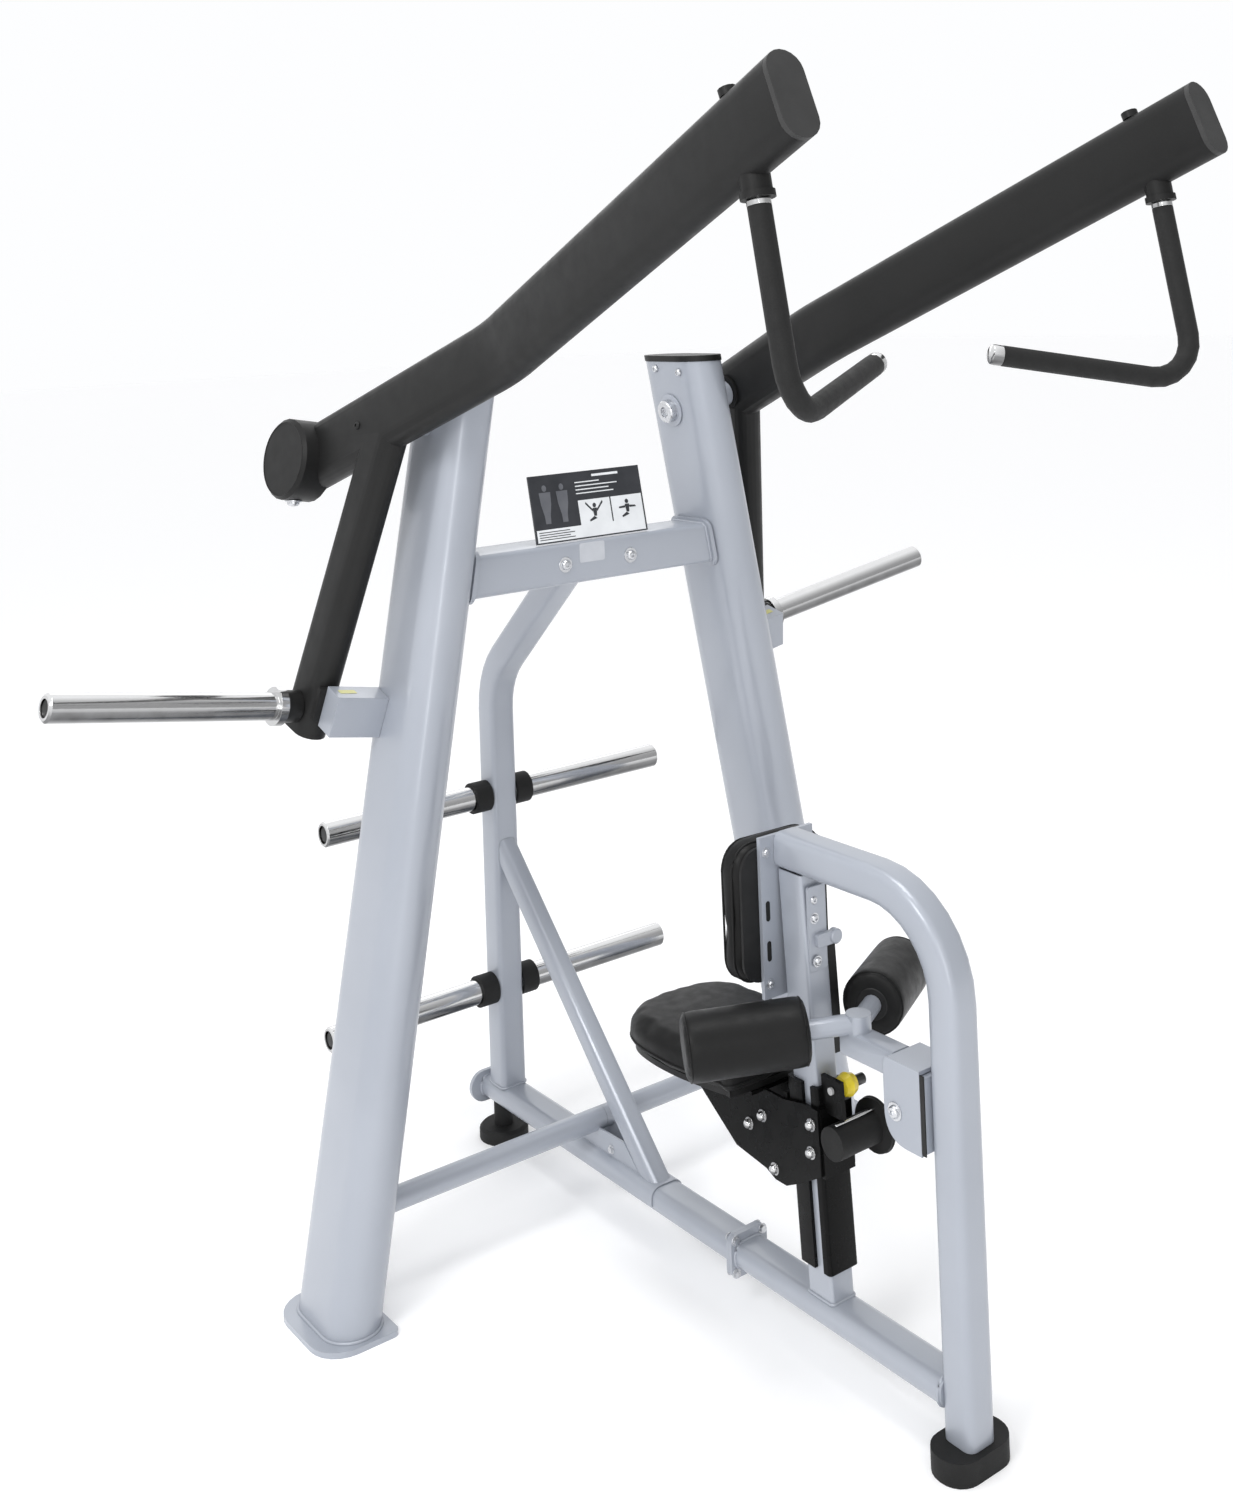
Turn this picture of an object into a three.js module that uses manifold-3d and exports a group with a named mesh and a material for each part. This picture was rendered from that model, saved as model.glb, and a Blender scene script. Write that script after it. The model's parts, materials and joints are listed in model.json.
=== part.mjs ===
// Plate-loaded front pulldown machine: two leaning uprights joined by a cross beam, a rear post with
// plate storage horns, a base beam, a seat column with chest pad and thigh rollers, and two
// independent lever arms with swivelling handles. Millimetres, +Z up, +Y to the rear. Pieces are drawn about
// the floor point between the uprights; the group then moves so that the front foot's underside is the origin.
import * as THREE from 'three';
import { mergeVertices } from 'three/addons/utils/BufferGeometryUtils.js';
import Module from 'manifold-3d';

const wasm = await Module();
wasm.setup();

// ---- driving dimensions ----
const GAP = 0.3;                       // clearance left between touching pieces
const LEAN = THREE.MathUtils.degToRad(10.4);   // inward lean of the uprights
const LEAN_SLOPE = Math.tan(LEAN);
const UPRIGHT = { footX: 575, width: 105, depth: 190, wall: 4, top: 1650 };
const BASE_PLATE = { inner: 64, outer: 78, halfDepth: 108, thick: 10, round: 62, corner: 12 };
const CAP_THICK = 12;
const BEAM = { bottom: 1233, height: 80, depth: 110, wall: 4, flange: 9, flangeDepth: 128, rim: 9, round: 20 };
const PLACARD = { width: 266, height: 132, thick: 4, y: -43, bottom: 1316, back: 12 };
const REAR_POST = { y: 349, size: 60, wall: 4, bendZ: 985, bendRadius: 160, topY: 30, topZ: 1272 };
const BASE = { width: 68, height: 44, bottom: 78, wall: 4, rear: 405, joint: -440, round: 18 };
const BASE_FLANGE = { width: 82, height: 74, thick: 7, round: 16 };
const FRONT_POST = { y: -961, size: 60, wall: 4, round: 15, foot: 36, top: 840, bendRadius: 150, end: -588 };
const COLUMN = { width: 50, depth: 60, wall: 3, footY: -667.5, slope: 0.06, round: 6 };
const FRONT_FOOT = { width: 134, depth: 82, height: 36, round: 39 };
const REAR_FOOT = { radius: 52, height: 26, stem: 20, y: 372 };
const STORAGE = { levels: [734, 328], radius: 25, tip: 412, collarRadius: 32, collarLength: 38 };
const BRACE = { size: 44, round: 14, wall: 3, topY: 318, topZ: 612, footY: -172, footZ: 122 };
const CROSS_TUBE = { radius: 21, wall: 3, z: 172, apexY: 0 };
const PAD_PLATE = { width: 120, thick: 8, bottom: 596, top: 866 };
const CHEST_PAD = { width: 216, height: 248, thick: 68, bottom: 612, corner: 50 };
const THIGH = { y: -750, z: 594, barRadius: 16, barEnd: 276 };
const THIGH_SWEEP = THREE.MathUtils.degToRad(31);   // each bar's turn to the rear
const THIGH_DROOP = THREE.MathUtils.degToRad(3.5);  // and its fall towards the outer end
const ROLLER = { radius: 55, inner: 85, outer: 290 };
const THIGH_ARM = { size: 42, inner: -726, z: 562, hubRadius: 21, hubHalf: 16 };
const THIGH_BRACKET = { half: 38, wall: 6, rear: -842, bottom: 454, top: 584, gap: 10 };
const SEAT = { top: 492, thick: 62, nose: -216 };
const RAIL = { width: 64, depth: 74, wall: 6.4, slit: 21, bottom: 172, top: 470 };
const SEAT_FRAME = { plate: 6, topHalf: 62, front: 8, collarBottom: 330, collarTop: 440, lugHalf: 8, lugTop: 492 };
const ARM = { width: 60, height: 130, wall: 2, offset: 133, tilt: THREE.MathUtils.degToRad(21.5) };
const ARM_SPLAY = THREE.MathUtils.degToRad(5);      // the rear section runs outward to the rear
const ARM_BEND = 340;                  // pivot to bend, along the rear section's line
const ARM_BEND_RADIUS = 420;
const ARM_END = [447, -1165, 2041];    // centre of the right arm's front end
const ARM_CAP = 9;
const PIVOT_T = 1584;                  // pivot height measured along the upright
const HUB = { radius: 36, bore: 20.4, shaft: 20, flange: 27 };
const COUNTERWEIGHT = { radius: 78, length: 70, distance: 270, side: 28 };
const SOLID_FROM = 45;                 // the arm is solid from this far behind its pivot
const WEIGHT_ARM = { height: 98, wall: 3, filledFrom: 190, ahead: 7, length: 606, tilt: THREE.MathUtils.degToRad(14.7) };
const HORN = { distance: 562, stub: 34, stubRadius: 27, collar: 16, collarRadius: 35, radius: 25, length: 430 };
const STOP = { height: 76, depth: 50, reach: 140, pad: 12, distance: 534 };
const HANDLE = { barRadius: 12, wall: 2.5, gripRadius: 17, drop: 327, bendRadius: 62, back: 118 };
const HANDLE_TILT = THREE.MathUtils.degToRad(10.5); // the handle's stem leans to the front
const SWIVEL = { radius: 22, flange: 25, depth: 24, clear: 0.5 };
const HANDLE_GRIP = [-308, 158, 61];   // from the bend to the grip end: inward, rearward, up
const KNOB = { x: -24, z: 473, ahead: 24, pinRadius: 6, radius: 20, endRadius: 9 };
const GRIP = { x: -38, z: 398, radius: 27, flange: 44, length: 104 };

// ---- materials ----
const paint = (color, roughness, metalness) => new THREE.MeshStandardMaterial({ color, roughness, metalness });
const frameGrey = () => paint(0xb4bbc8, 0.42, 0.35);
const armBlack = () => paint(0x2b2b2c, 0.6, 0.1);
const chrome = () => paint(0xd9dadc, 0.18, 1);
const rubber = () => paint(0x161617, 0.85, 0);
const upholstery = () => paint(0x1f1f20, 0.7, 0);

// ---- geometry helpers ----
const SEGMENTS = 6;                    // segments in a quarter turn of a rounded corner
const vec = (x, y, z) => new THREE.Vector3(x, y, z);

function stadium(width, height, quarter = SEGMENTS) {
  const r = width / 2;
  const flat = height / 2 - r;
  const points = [];
  for (let i = 0; i <= 2 * quarter; i++) {
    const a = (Math.PI * i) / (2 * quarter);
    points.push(new THREE.Vector2(r * Math.cos(a), flat + r * Math.sin(a)));
  }
  for (let i = 0; i <= 2 * quarter; i++) {
    const a = Math.PI + (Math.PI * i) / (2 * quarter);
    points.push(new THREE.Vector2(r * Math.cos(a), -flat + r * Math.sin(a)));
  }
  return points;
}

function roundRect(width, height, radius, quarter = 4) {
  const points = [];
  const corners = [[1, 1, 0], [-1, 1, 1], [-1, -1, 2], [1, -1, 3]];
  for (const [sx, sy, turn] of corners) {
    for (let i = 0; i <= quarter; i++) {
      const a = (Math.PI / 2) * (turn + i / quarter);
      const x = sx * (width / 2 - radius) + radius * Math.cos(a);
      const y = sy * (height / 2 - radius) + radius * Math.sin(a);
      points.push(new THREE.Vector2(x, y));
    }
  }
  return points;
}

function circle(radius, count = 20) {
  const points = [];
  for (let i = 0; i < count; i++) {
    const a = (2 * Math.PI * i) / count;
    points.push(new THREE.Vector2(radius * Math.cos(a), radius * Math.sin(a)));
  }
  return points;
}

function outline(outer, inner) {
  const shape = new THREE.Shape(outer);
  if (inner) shape.holes.push(new THREE.Path(inner));
  return shape;
}

// A rail through given stations; the section's own x axis follows each station's side vector.
class Rail extends THREE.Curve {
  constructor(stations) {
    super();
    this.stations = stations;
  }
  getPoint(t) {
    const n = this.stations.length - 1;
    return this.stations[Math.round(t * n)].point.clone();
  }
  getPointAt(t) {
    return this.getPoint(t);
  }
  computeFrenetFrames() {
    const tangents = this.stations.map((s) => s.tangent.clone());
    const normals = this.stations.map(({ side, tangent }) =>
      side.clone().addScaledVector(tangent, -side.dot(tangent)).normalize());
    const binormals = tangents.map((t, i) => new THREE.Vector3().crossVectors(t, normals[i]));
    return { tangents, normals, binormals };
  }
}

// Stations of a line through corner points, with each inner corner rounded to a radius. The side
// vector turns from the first one to the last one over the corners.
function railStations(points, radii, arcSteps, firstSide, lastSide) {
  const stations = [];
  const count = points.length;
  const direction = (i) => points[i + 1].clone().sub(points[i]).normalize();
  stations.push({ point: points[0].clone(), tangent: direction(0), side: firstSide });
  for (let i = 1; i < count - 1; i++) {
    const before = direction(i - 1);
    const after = direction(i);
    const turn = before.angleTo(after);
    const axis = new THREE.Vector3().crossVectors(before, after).normalize();
    const toCentre = new THREE.Vector3().crossVectors(axis, before);
    const start = points[i].clone().addScaledVector(before, -radii[i - 1] * Math.tan(turn / 2));
    const centre = start.clone().addScaledVector(toCentre, radii[i - 1]);
    for (let k = 0; k <= arcSteps; k++) {
      const a = (turn * k) / arcSteps;
      const spoke = toCentre.clone().negate().multiplyScalar(radii[i - 1]).applyAxisAngle(axis, a);
      const side = firstSide.clone().lerp(lastSide, k / arcSteps);
      stations.push({ point: centre.clone().add(spoke), tangent: before.clone().applyAxisAngle(axis, a), side });
    }
  }
  stations.push({ point: points[count - 1].clone(), tangent: direction(count - 2), side: lastSide });
  return stations;
}

function sweep(shape, points, radii, side, arcSteps = 6, lastSide = side) {
  const stations = railStations(points, radii, arcSteps, side, lastSide);
  const extrudePath = new Rail(stations);
  return new THREE.ExtrudeGeometry(shape, { steps: stations.length - 1, extrudePath, bevelEnabled: false });
}

const straight = (shape, from, to, side) => sweep(shape, [from, to], [], side);

function prism(points, bottom, top, hole) {
  const geometry = new THREE.ExtrudeGeometry(outline(points, hole), { depth: top - bottom, bevelEnabled: false });
  return geometry.translate(0, 0, bottom);
}

function box(x0, x1, y0, y1, z0, z1) {
  const geometry = new THREE.BoxGeometry(x1 - x0, y1 - y0, z1 - z0);
  return geometry.translate((x0 + x1) / 2, (y0 + y1) / 2, (z0 + z1) / 2);
}

function solid(geometry) {
  const bare = geometry.clone();
  for (const name of ['normal', 'uv']) bare.deleteAttribute(name);
  const merged = mergeVertices(bare, 1e-4);
  const vertProperties = new Float32Array(merged.attributes.position.array);
  const triVerts = new Uint32Array(merged.index.array);
  return new wasm.Manifold(new wasm.Mesh({ numProp: 3, vertProperties, triVerts }));
}

function skin(manifold) {
  const { vertProperties, triVerts } = manifold.getMesh();
  const geometry = new THREE.BufferGeometry();
  geometry.setAttribute('position', new THREE.BufferAttribute(new Float32Array(vertProperties), 3));
  geometry.setIndex(new THREE.BufferAttribute(new Uint32Array(triVerts), 1));
  geometry.computeVertexNormals();
  return geometry;
}

const joined = (...parts) => parts.map(solid).reduce((a, b) => a.add(b));
const without = (body, ...cuts) => cuts.map(solid).reduce((a, b) => a.subtract(b), body);

// The same piece on the other side of the machine.
function mirrored(geometry) {
  const copy = geometry.index ? geometry.clone() : mergeVertices(geometry.clone());
  copy.deleteAttribute('uv');
  const position = copy.attributes.position;
  for (let i = 0; i < position.count; i++) position.setX(i, -position.getX(i));
  const index = copy.index.array;
  for (let i = 0; i < index.length; i += 3) [index[i], index[i + 1]] = [index[i + 1], index[i]];
  copy.computeVertexNormals();
  return copy;
}

// Lean a piece drawn about the upright's own centre line so that it follows the right upright.
function leaned(geometry) {
  const position = geometry.attributes.position;
  for (let i = 0; i < position.count; i++) {
    position.setX(i, position.getX(i) + UPRIGHT.footX - LEAN_SLOPE * position.getZ(i));
  }
  geometry.computeVertexNormals();
  return geometry;
}

// Lean a piece drawn about the seat column's centre line.
function onColumn(geometry) {
  const position = geometry.attributes.position;
  for (let i = 0; i < position.count; i++) {
    position.setY(i, position.getY(i) + COLUMN.footY + COLUMN.slope * position.getZ(i));
  }
  geometry.computeVertexNormals();
  return geometry;
}

const columnY = (z) => COLUMN.footY + COLUMN.slope * z;

// The right upright's frame: x outward, y to the rear, z along the upright from the floor.
const outward = vec(Math.cos(LEAN), 0, Math.sin(LEAN));
const along = vec(-Math.sin(LEAN), 0, Math.cos(LEAN));
const postFrame = new THREE.Matrix4().makeBasis(outward, vec(0, 1, 0), along).setPosition(UPRIGHT.footX, 0, 0);
const onPost = (o, y, t) => vec(o, y, t).applyMatrix4(postFrame);

// The right arm's frame at its pivot: out of its outer face, to the rear, and up along the upright.
const armOut = outward.clone().multiplyScalar(Math.cos(ARM_SPLAY)).add(vec(0, -Math.sin(ARM_SPLAY), 0));
const armBack = vec(0, Math.cos(ARM_SPLAY), 0).addScaledVector(outward, Math.sin(ARM_SPLAY));
const armPivot = onPost(ARM.offset, 0, PIVOT_T);
const armPoint = (back, up, side) =>
  armPivot.clone().addScaledVector(armBack, back).addScaledVector(along, up).addScaledVector(armOut, side);

// Points on the right arm's rear section, by distance behind the pivot.
const rearPoint = (back, side = 0) =>
  armPoint(back * Math.cos(ARM.tilt), -back * Math.sin(ARM.tilt), side);

// Points by the right weight arm, by distance below the pivot and distance ahead of its centre line.
const hangPoint = (down, ahead = 0, side = 0) => {
  const sin = Math.sin(WEIGHT_ARM.tilt);
  const cos = Math.cos(WEIGHT_ARM.tilt);
  const forward = ahead + WEIGHT_ARM.ahead;
  return armPoint(down * sin - forward * cos, -down * cos - forward * sin, side);
};

// A turned piece: its profile's radii and distances, its start and its axis.
function turnedAlong(profile, start, axis, count = 24) {
  const points = profile.map(([r, a]) => new THREE.Vector2(r, a));
  const turn = new THREE.Quaternion().setFromUnitVectors(vec(0, 1, 0), axis.clone().normalize());
  return new THREE.LatheGeometry(points, count).applyQuaternion(turn).translate(start.x, start.y, start.z);
}

const group = new THREE.Group();

function add(name, geometry, material) {
  const mesh = new THREE.Mesh(geometry, material);
  mesh.name = name;
  group.add(mesh);
}

function addPair(name, geometry, material) {
  add(name + '_right', geometry, material());
  add(name + '_left', mirrored(geometry), material());
}

// ---- uprights with base plates and caps ----
function basePlateOutline() {
  const { inner, outer, halfDepth, round, corner } = BASE_PLATE;
  const points = [];
  const arc = (cx, cy, r, from) => {
    for (let i = 0; i <= SEGMENTS; i++) {
      const a = from + (Math.PI / 2) * (i / SEGMENTS);
      points.push(new THREE.Vector2(cx + r * Math.cos(a), cy + r * Math.sin(a)));
    }
  };
  arc(outer - round, halfDepth - round, round, 0);
  arc(-inner + corner, halfDepth - corner, corner, Math.PI / 2);
  arc(-inner + corner, -halfDepth + corner, corner, Math.PI);
  arc(outer - round, -halfDepth + round, round, 1.5 * Math.PI);
  return points;
}

const uprightSection = stadium(UPRIGHT.width, UPRIGHT.depth);
const uprightBore = stadium(UPRIGHT.width - 2 * UPRIGHT.wall, UPRIGHT.depth - 2 * UPRIGHT.wall);
const plateMiddle = BASE_PLATE.thick / 2;
const uprightTube = leaned(prism(uprightSection, plateMiddle, UPRIGHT.top));
const uprightHollow = leaned(prism(uprightBore, BASE_PLATE.thick, UPRIGHT.top + 10));
const basePlate = prism(basePlateOutline(), 0, BASE_PLATE.thick).translate(UPRIGHT.footX, 0, 0);
addPair('upright', skin(without(joined(uprightTube, basePlate), uprightHollow)), frameGrey);

const capBottom = UPRIGHT.top + GAP;
const capOutline = stadium(UPRIGHT.width + 4, UPRIGHT.depth + 4);
addPair('upright_cap', leaned(prism(capOutline, capBottom, capBottom + CAP_THICK)), rubber);

// ---- cross beam with end flanges, and the placard ----
const beamTop = BEAM.bottom + BEAM.height;
const flangeIn = -UPRIGHT.width / 2 - GAP - BEAM.flange;
const flangeBox = (side) => {
  const middle = (BEAM.bottom + beamTop) / 2;
  const face = outline(roundRect(BEAM.flangeDepth, BEAM.height + 2 * BEAM.rim, BEAM.round));
  const ends = [vec(flangeIn, 0, middle), vec(flangeIn + BEAM.flange, 0, middle)];
  const plate = leaned(straight(face, ...ends, vec(0, 1, 0)));
  return side > 0 ? plate : mirrored(plate);
};

// A tube along X between the flanges; its ends follow the lean of the uprights.
function beamTube(section) {
  const middle = (BEAM.bottom + beamTop) / 2;
  const tube = straight(outline(section), vec(-1, 0, middle), vec(1, 0, middle), vec(0, 1, 0));
  const position = tube.attributes.position;
  for (let i = 0; i < position.count; i++) {
    const reach = UPRIGHT.footX - LEAN_SLOPE * position.getZ(i) + flangeIn + BEAM.flange / 2;
    position.setX(i, Math.sign(position.getX(i)) * reach);
  }
  return tube;
}

const beamBore = roundRect(BEAM.depth - 2 * BEAM.wall, BEAM.height - 2 * BEAM.wall, 6, 2);
const beamSolid = joined(beamTube(roundRect(BEAM.depth, BEAM.height, 10)), flangeBox(1), flangeBox(-1));
const beamThrough = beamTube(beamBore).scale(1.2, 1, 1);
add('cross_beam', skin(without(beamSolid, beamThrough)), frameGrey());

const placard = box(-PLACARD.width / 2, PLACARD.width / 2, 0, PLACARD.thick, 0, PLACARD.height);
placard.rotateX(-THREE.MathUtils.degToRad(PLACARD.back));
add('placard', placard.translate(0, PLACARD.y, PLACARD.bottom), paint(0x3a3c40, 0.5, 0));

// ---- rear post, bent forward under the cross beam ----
const rearPath = [
  vec(0, REAR_POST.y, BASE.bottom + BASE.height + GAP),
  vec(0, REAR_POST.y, REAR_POST.bendZ),
  vec(0, REAR_POST.topY, REAR_POST.topZ),
];
const sideways = vec(1, 0, 0);
const rearOuter = roundRect(REAR_POST.size, REAR_POST.size, 12);
const rearInner = roundRect(REAR_POST.size - 2 * REAR_POST.wall, REAR_POST.size - 2 * REAR_POST.wall, 8);
const rearTube = sweep(outline(rearOuter, rearInner), rearPath, [REAR_POST.bendRadius], sideways, 5);
const beamHalf = BEAM.depth / 2 + GAP;
const beamRoom = box(-60, 60, -beamHalf, beamHalf, BEAM.bottom - GAP, beamTop + GAP);
add('rear_post', skin(without(solid(rearTube), beamRoom)), frameGrey());

// ---- storage horns and their collars, two on each side of the rear post ----
STORAGE.levels.forEach((z, level) => {
  const face = REAR_POST.size / 2 + GAP;
  const { radius, tip, collarRadius, collarLength } = STORAGE;
  const recess = radius - 7;
  const rod = [[0, face], [radius, face], [radius, tip - 3], [radius - 3, tip], [recess, tip]];
  rod.push([recess, tip - 12], [0, tip - 12]);
  const inner = radius + GAP;
  const collar = [[inner, face], [collarRadius, face], [collarRadius, face + collarLength]];
  collar.push([inner, face + collarLength], [inner, face]);
  const start = vec(0, REAR_POST.y, z);
  const levelName = level === 0 ? 'upper' : 'lower';
  addPair('storage_horn_' + levelName, turnedAlong(rod, start, sideways, 24), chrome);
  addPair('storage_collar_' + levelName, turnedAlong(collar, start, sideways, 24), rubber);
});

// ---- base beam in two lengths, bolted at a flange ----
const baseMiddle = BASE.bottom + BASE.height / 2;
const baseOuter = outline(roundRect(BASE.width, BASE.height, BASE.round));
const baseInner = outline(roundRect(BASE.width - 2 * BASE.wall, BASE.height - 2 * BASE.wall, BASE.round - BASE.wall));
const baseRun = (shape, y0, y1) => straight(shape, vec(0, y0, baseMiddle), vec(0, y1, baseMiddle), sideways);
const flangeShape = outline(roundRect(BASE_FLANGE.width, BASE_FLANGE.height, BASE_FLANGE.round));
const endShape = outline(stadium(64, 116).map((p) => new THREE.Vector2(p.y, p.x)).reverse());
const rearRun = joined(
  baseRun(baseOuter, BASE.rear, BASE.joint + 5),
  baseRun(endShape, BASE.rear + 8, BASE.rear - 1),
  baseRun(flangeShape, BASE.joint + BASE_FLANGE.thick, BASE.joint),
);
add('base_beam_rear', skin(without(rearRun, baseRun(baseInner, BASE.rear - 6, BASE.joint - 5))), frameGrey());

const frontStart = BASE.joint - GAP;
const frontEnd = FRONT_POST.y + FRONT_POST.size / 2 + GAP;
const frontRun = joined(
  baseRun(baseOuter, frontStart - 5, frontEnd),
  baseRun(flangeShape, frontStart, frontStart - BASE_FLANGE.thick),
);
add('base_beam_front', skin(without(frontRun, baseRun(baseInner, frontStart + 5, frontEnd - 5))), frameGrey());

// ---- front post: a gooseneck that runs back over the seat column ----
const frontPath = [
  vec(0, FRONT_POST.y, FRONT_POST.foot + GAP),
  vec(0, FRONT_POST.y, FRONT_POST.top),
  vec(0, FRONT_POST.end, FRONT_POST.top),
];
const frontOuter = roundRect(FRONT_POST.size, FRONT_POST.size, FRONT_POST.round);
const frontBore = FRONT_POST.size - 2 * FRONT_POST.wall;
const frontInner = roundRect(frontBore, frontBore, FRONT_POST.round - FRONT_POST.wall);
const frontTube = sweep(outline(frontOuter, frontInner), frontPath, [FRONT_POST.bendRadius], sideways, 8);
add('front_post', frontTube, frameGrey());

const footOutline = roundRect(FRONT_FOOT.width, FRONT_FOOT.depth, FRONT_FOOT.round, 6);
add('front_foot', prism(footOutline, 0, FRONT_FOOT.height).translate(0, FRONT_POST.y, 0), rubber());

const rearFootTop = BASE.bottom - GAP;
const { radius: footRadius, height: footHeight, stem } = REAR_FOOT;
const rearFoot = [[0, 0], [footRadius, 0], [footRadius, footHeight - 6], [footRadius - 6, footHeight]];
rearFoot.push([stem, footHeight], [stem, rearFootTop], [0, rearFootTop]);
add('rear_foot', turnedAlong(rearFoot, vec(0, REAR_FOOT.y, 0), vec(0, 0, 1)), rubber());

// ---- seat column, chest pad and its plate ----
const columnBottom = BASE.bottom + BASE.height + GAP;
const columnTop = FRONT_POST.top - FRONT_POST.size / 2 - GAP;
const columnOuter = roundRect(COLUMN.width, COLUMN.depth, COLUMN.round);
const columnInner = roundRect(COLUMN.width - 2 * COLUMN.wall, COLUMN.depth - 2 * COLUMN.wall, 3, 2);
add('seat_column', onColumn(prism(columnOuter, columnBottom, columnTop, columnInner)), frameGrey());

const plateFront = FRONT_POST.end + GAP;
const plateHalf = PAD_PLATE.width / 2;
const plateBack = plateFront + PAD_PLATE.thick;
add('pad_plate', box(-plateHalf, plateHalf, plateFront, plateBack, PAD_PLATE.bottom, PAD_PLATE.top), frameGrey());

const chest = new THREE.ExtrudeGeometry(
  outline(roundRect(CHEST_PAD.width, CHEST_PAD.height, CHEST_PAD.corner, 5)),
  { depth: CHEST_PAD.thick, bevelEnabled: false },
);
chest.rotateX(Math.PI / 2);
const chestMiddle = CHEST_PAD.bottom + CHEST_PAD.height / 2;
add('chest_pad', chest.translate(0, plateBack + GAP + CHEST_PAD.thick, chestMiddle), upholstery());

// ---- brace and the two cross tubes that tie the uprights to it ----
const ring = (radius, wall, count = 16) => outline(circle(radius, count), circle(radius - wall, count));
const braceTop = vec(0, BRACE.topY, BRACE.topZ);
const braceFoot = vec(0, BRACE.footY, BRACE.footZ);
const braceAxis = braceTop.clone().sub(braceFoot).normalize();
const braceStart = braceFoot.clone().addScaledVector(braceAxis, -40);
const braceEnd = braceTop.clone().addScaledVector(braceAxis, 60);
const braceHole = BRACE.size - 2 * BRACE.wall;
const braceShape = outline(
  roundRect(BRACE.size, BRACE.size, BRACE.round),
  roundRect(braceHole, braceHole, BRACE.round - BRACE.wall),
);
const braceTube = straight(braceShape, braceStart, braceEnd, sideways);
const postFront = REAR_POST.y - REAR_POST.size / 2 - GAP;
const postRoom = box(-60, 60, postFront, postFront + 200, 400, 900);
const beamRoomBelow = box(-60, 60, -400, 200, 0, BASE.bottom + BASE.height + GAP);
add('brace', skin(without(solid(braceTube), postRoom, beamRoomBelow)), frameGrey());

const clearSize = BRACE.size + 2 * GAP;
const braceClear = straight(outline(roundRect(clearSize, clearSize, BRACE.round)), braceStart, braceEnd, sideways);
const tubeFrom = vec(0, CROSS_TUBE.apexY, CROSS_TUBE.z);
const tubeTo = vec(UPRIGHT.footX - LEAN_SLOPE * CROSS_TUBE.z, 0, CROSS_TUBE.z);
const crossTube = straight(ring(CROSS_TUBE.radius, CROSS_TUBE.wall), tubeFrom, tubeTo, vec(0, 0, 1));
const clearSection = stadium(UPRIGHT.width + 2 * GAP, UPRIGHT.depth + 2 * GAP);
const uprightClear = leaned(prism(clearSection, 0, UPRIGHT.top));
const middleCut = box(-80, GAP, -80, 120, 100, 300);
addPair('cross_tube', skin(without(solid(crossTube), braceClear, uprightClear, middleCut)), frameGrey);

// ---- thigh rollers on two swept-back bars, held from the front post ----
const sweptBack = vec(
  Math.cos(THIGH_SWEEP) * Math.cos(THIGH_DROOP),
  Math.sin(THIGH_SWEEP) * Math.cos(THIGH_DROOP),
  -Math.sin(THIGH_DROOP),
);
const thighHub = vec(0, THIGH.y, THIGH.z);
const bar = [[0, 0], [THIGH.barRadius, 0], [THIGH.barRadius, THIGH.barEnd], [0, THIGH.barEnd]];
const barRight = turnedAlong(bar, thighHub, sweptBack, 16);
const hubProfileUp = [[0, 0], [THIGH_ARM.hubRadius, 0]];
hubProfileUp.push([THIGH_ARM.hubRadius, 2 * THIGH_ARM.hubHalf], [0, 2 * THIGH_ARM.hubHalf]);
const hubFoot = thighHub.clone().add(vec(0, 0, -THIGH_ARM.hubHalf));
const thighKnuckle = turnedAlong(hubProfileUp, hubFoot, vec(0, 0, 1), 20);
const sideToX = new THREE.Matrix4().makeBasis(vec(0, 1, 0), vec(0, 0, 1), vec(1, 0, 0));
const bracketFront = FRONT_POST.y + FRONT_POST.size / 2 + GAP;
const { half: bracketHalf, wall: bracketWall, rear: bracketRear } = THIGH_BRACKET;
const { bottom: bracketBottom, top: bracketTop } = THIGH_BRACKET;
const thighSection = outline(roundRect(THIGH_ARM.size, THIGH_ARM.size, 6, 2));
const thighArm = straight(thighSection, vec(0, THIGH_ARM.inner, THIGH_ARM.z), vec(0, bracketRear - 3, THIGH_ARM.z), sideways);
const bracketShape = new THREE.Shape();
const cheekFront = bracketFront + THIGH_BRACKET.gap;
bracketShape.moveTo(cheekFront, bracketTop);
bracketShape.lineTo(cheekFront, bracketBottom);
bracketShape.lineTo(cheekFront + 30, bracketBottom);
bracketShape.quadraticCurveTo(bracketRear, bracketBottom, bracketRear, bracketBottom + 50);
bracketShape.lineTo(bracketRear, bracketTop - 8);
bracketShape.lineTo(bracketRear - 8, bracketTop);
const bracketBody = new THREE.ExtrudeGeometry(bracketShape, { depth: 2 * bracketHalf, bevelEnabled: false });
bracketBody.applyMatrix4(sideToX).translate(-bracketHalf, 0, 0);
const bracketInside = box(
  -bracketHalf + bracketWall, bracketHalf - bracketWall,
  bracketFront - 5, bracketRear - bracketWall,
  bracketBottom - 5, bracketTop - bracketWall,
);
const bracketFoot = box(
  -bracketHalf + 2, bracketHalf - 2,
  bracketFront, bracketFront + THIGH_BRACKET.gap + 4,
  bracketBottom + 8, bracketTop - 8,
);
const bracket = solid(bracketBody).subtract(solid(bracketInside)).add(solid(bracketFoot));
const bars = solid(barRight).add(solid(mirrored(barRight)));
const thighArmSolid = joined(thighArm, thighKnuckle).subtract(solid(bracketInside));
add('thigh_bracket', skin(bracket.add(thighArmSolid).add(bars)), frameGrey());

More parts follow.
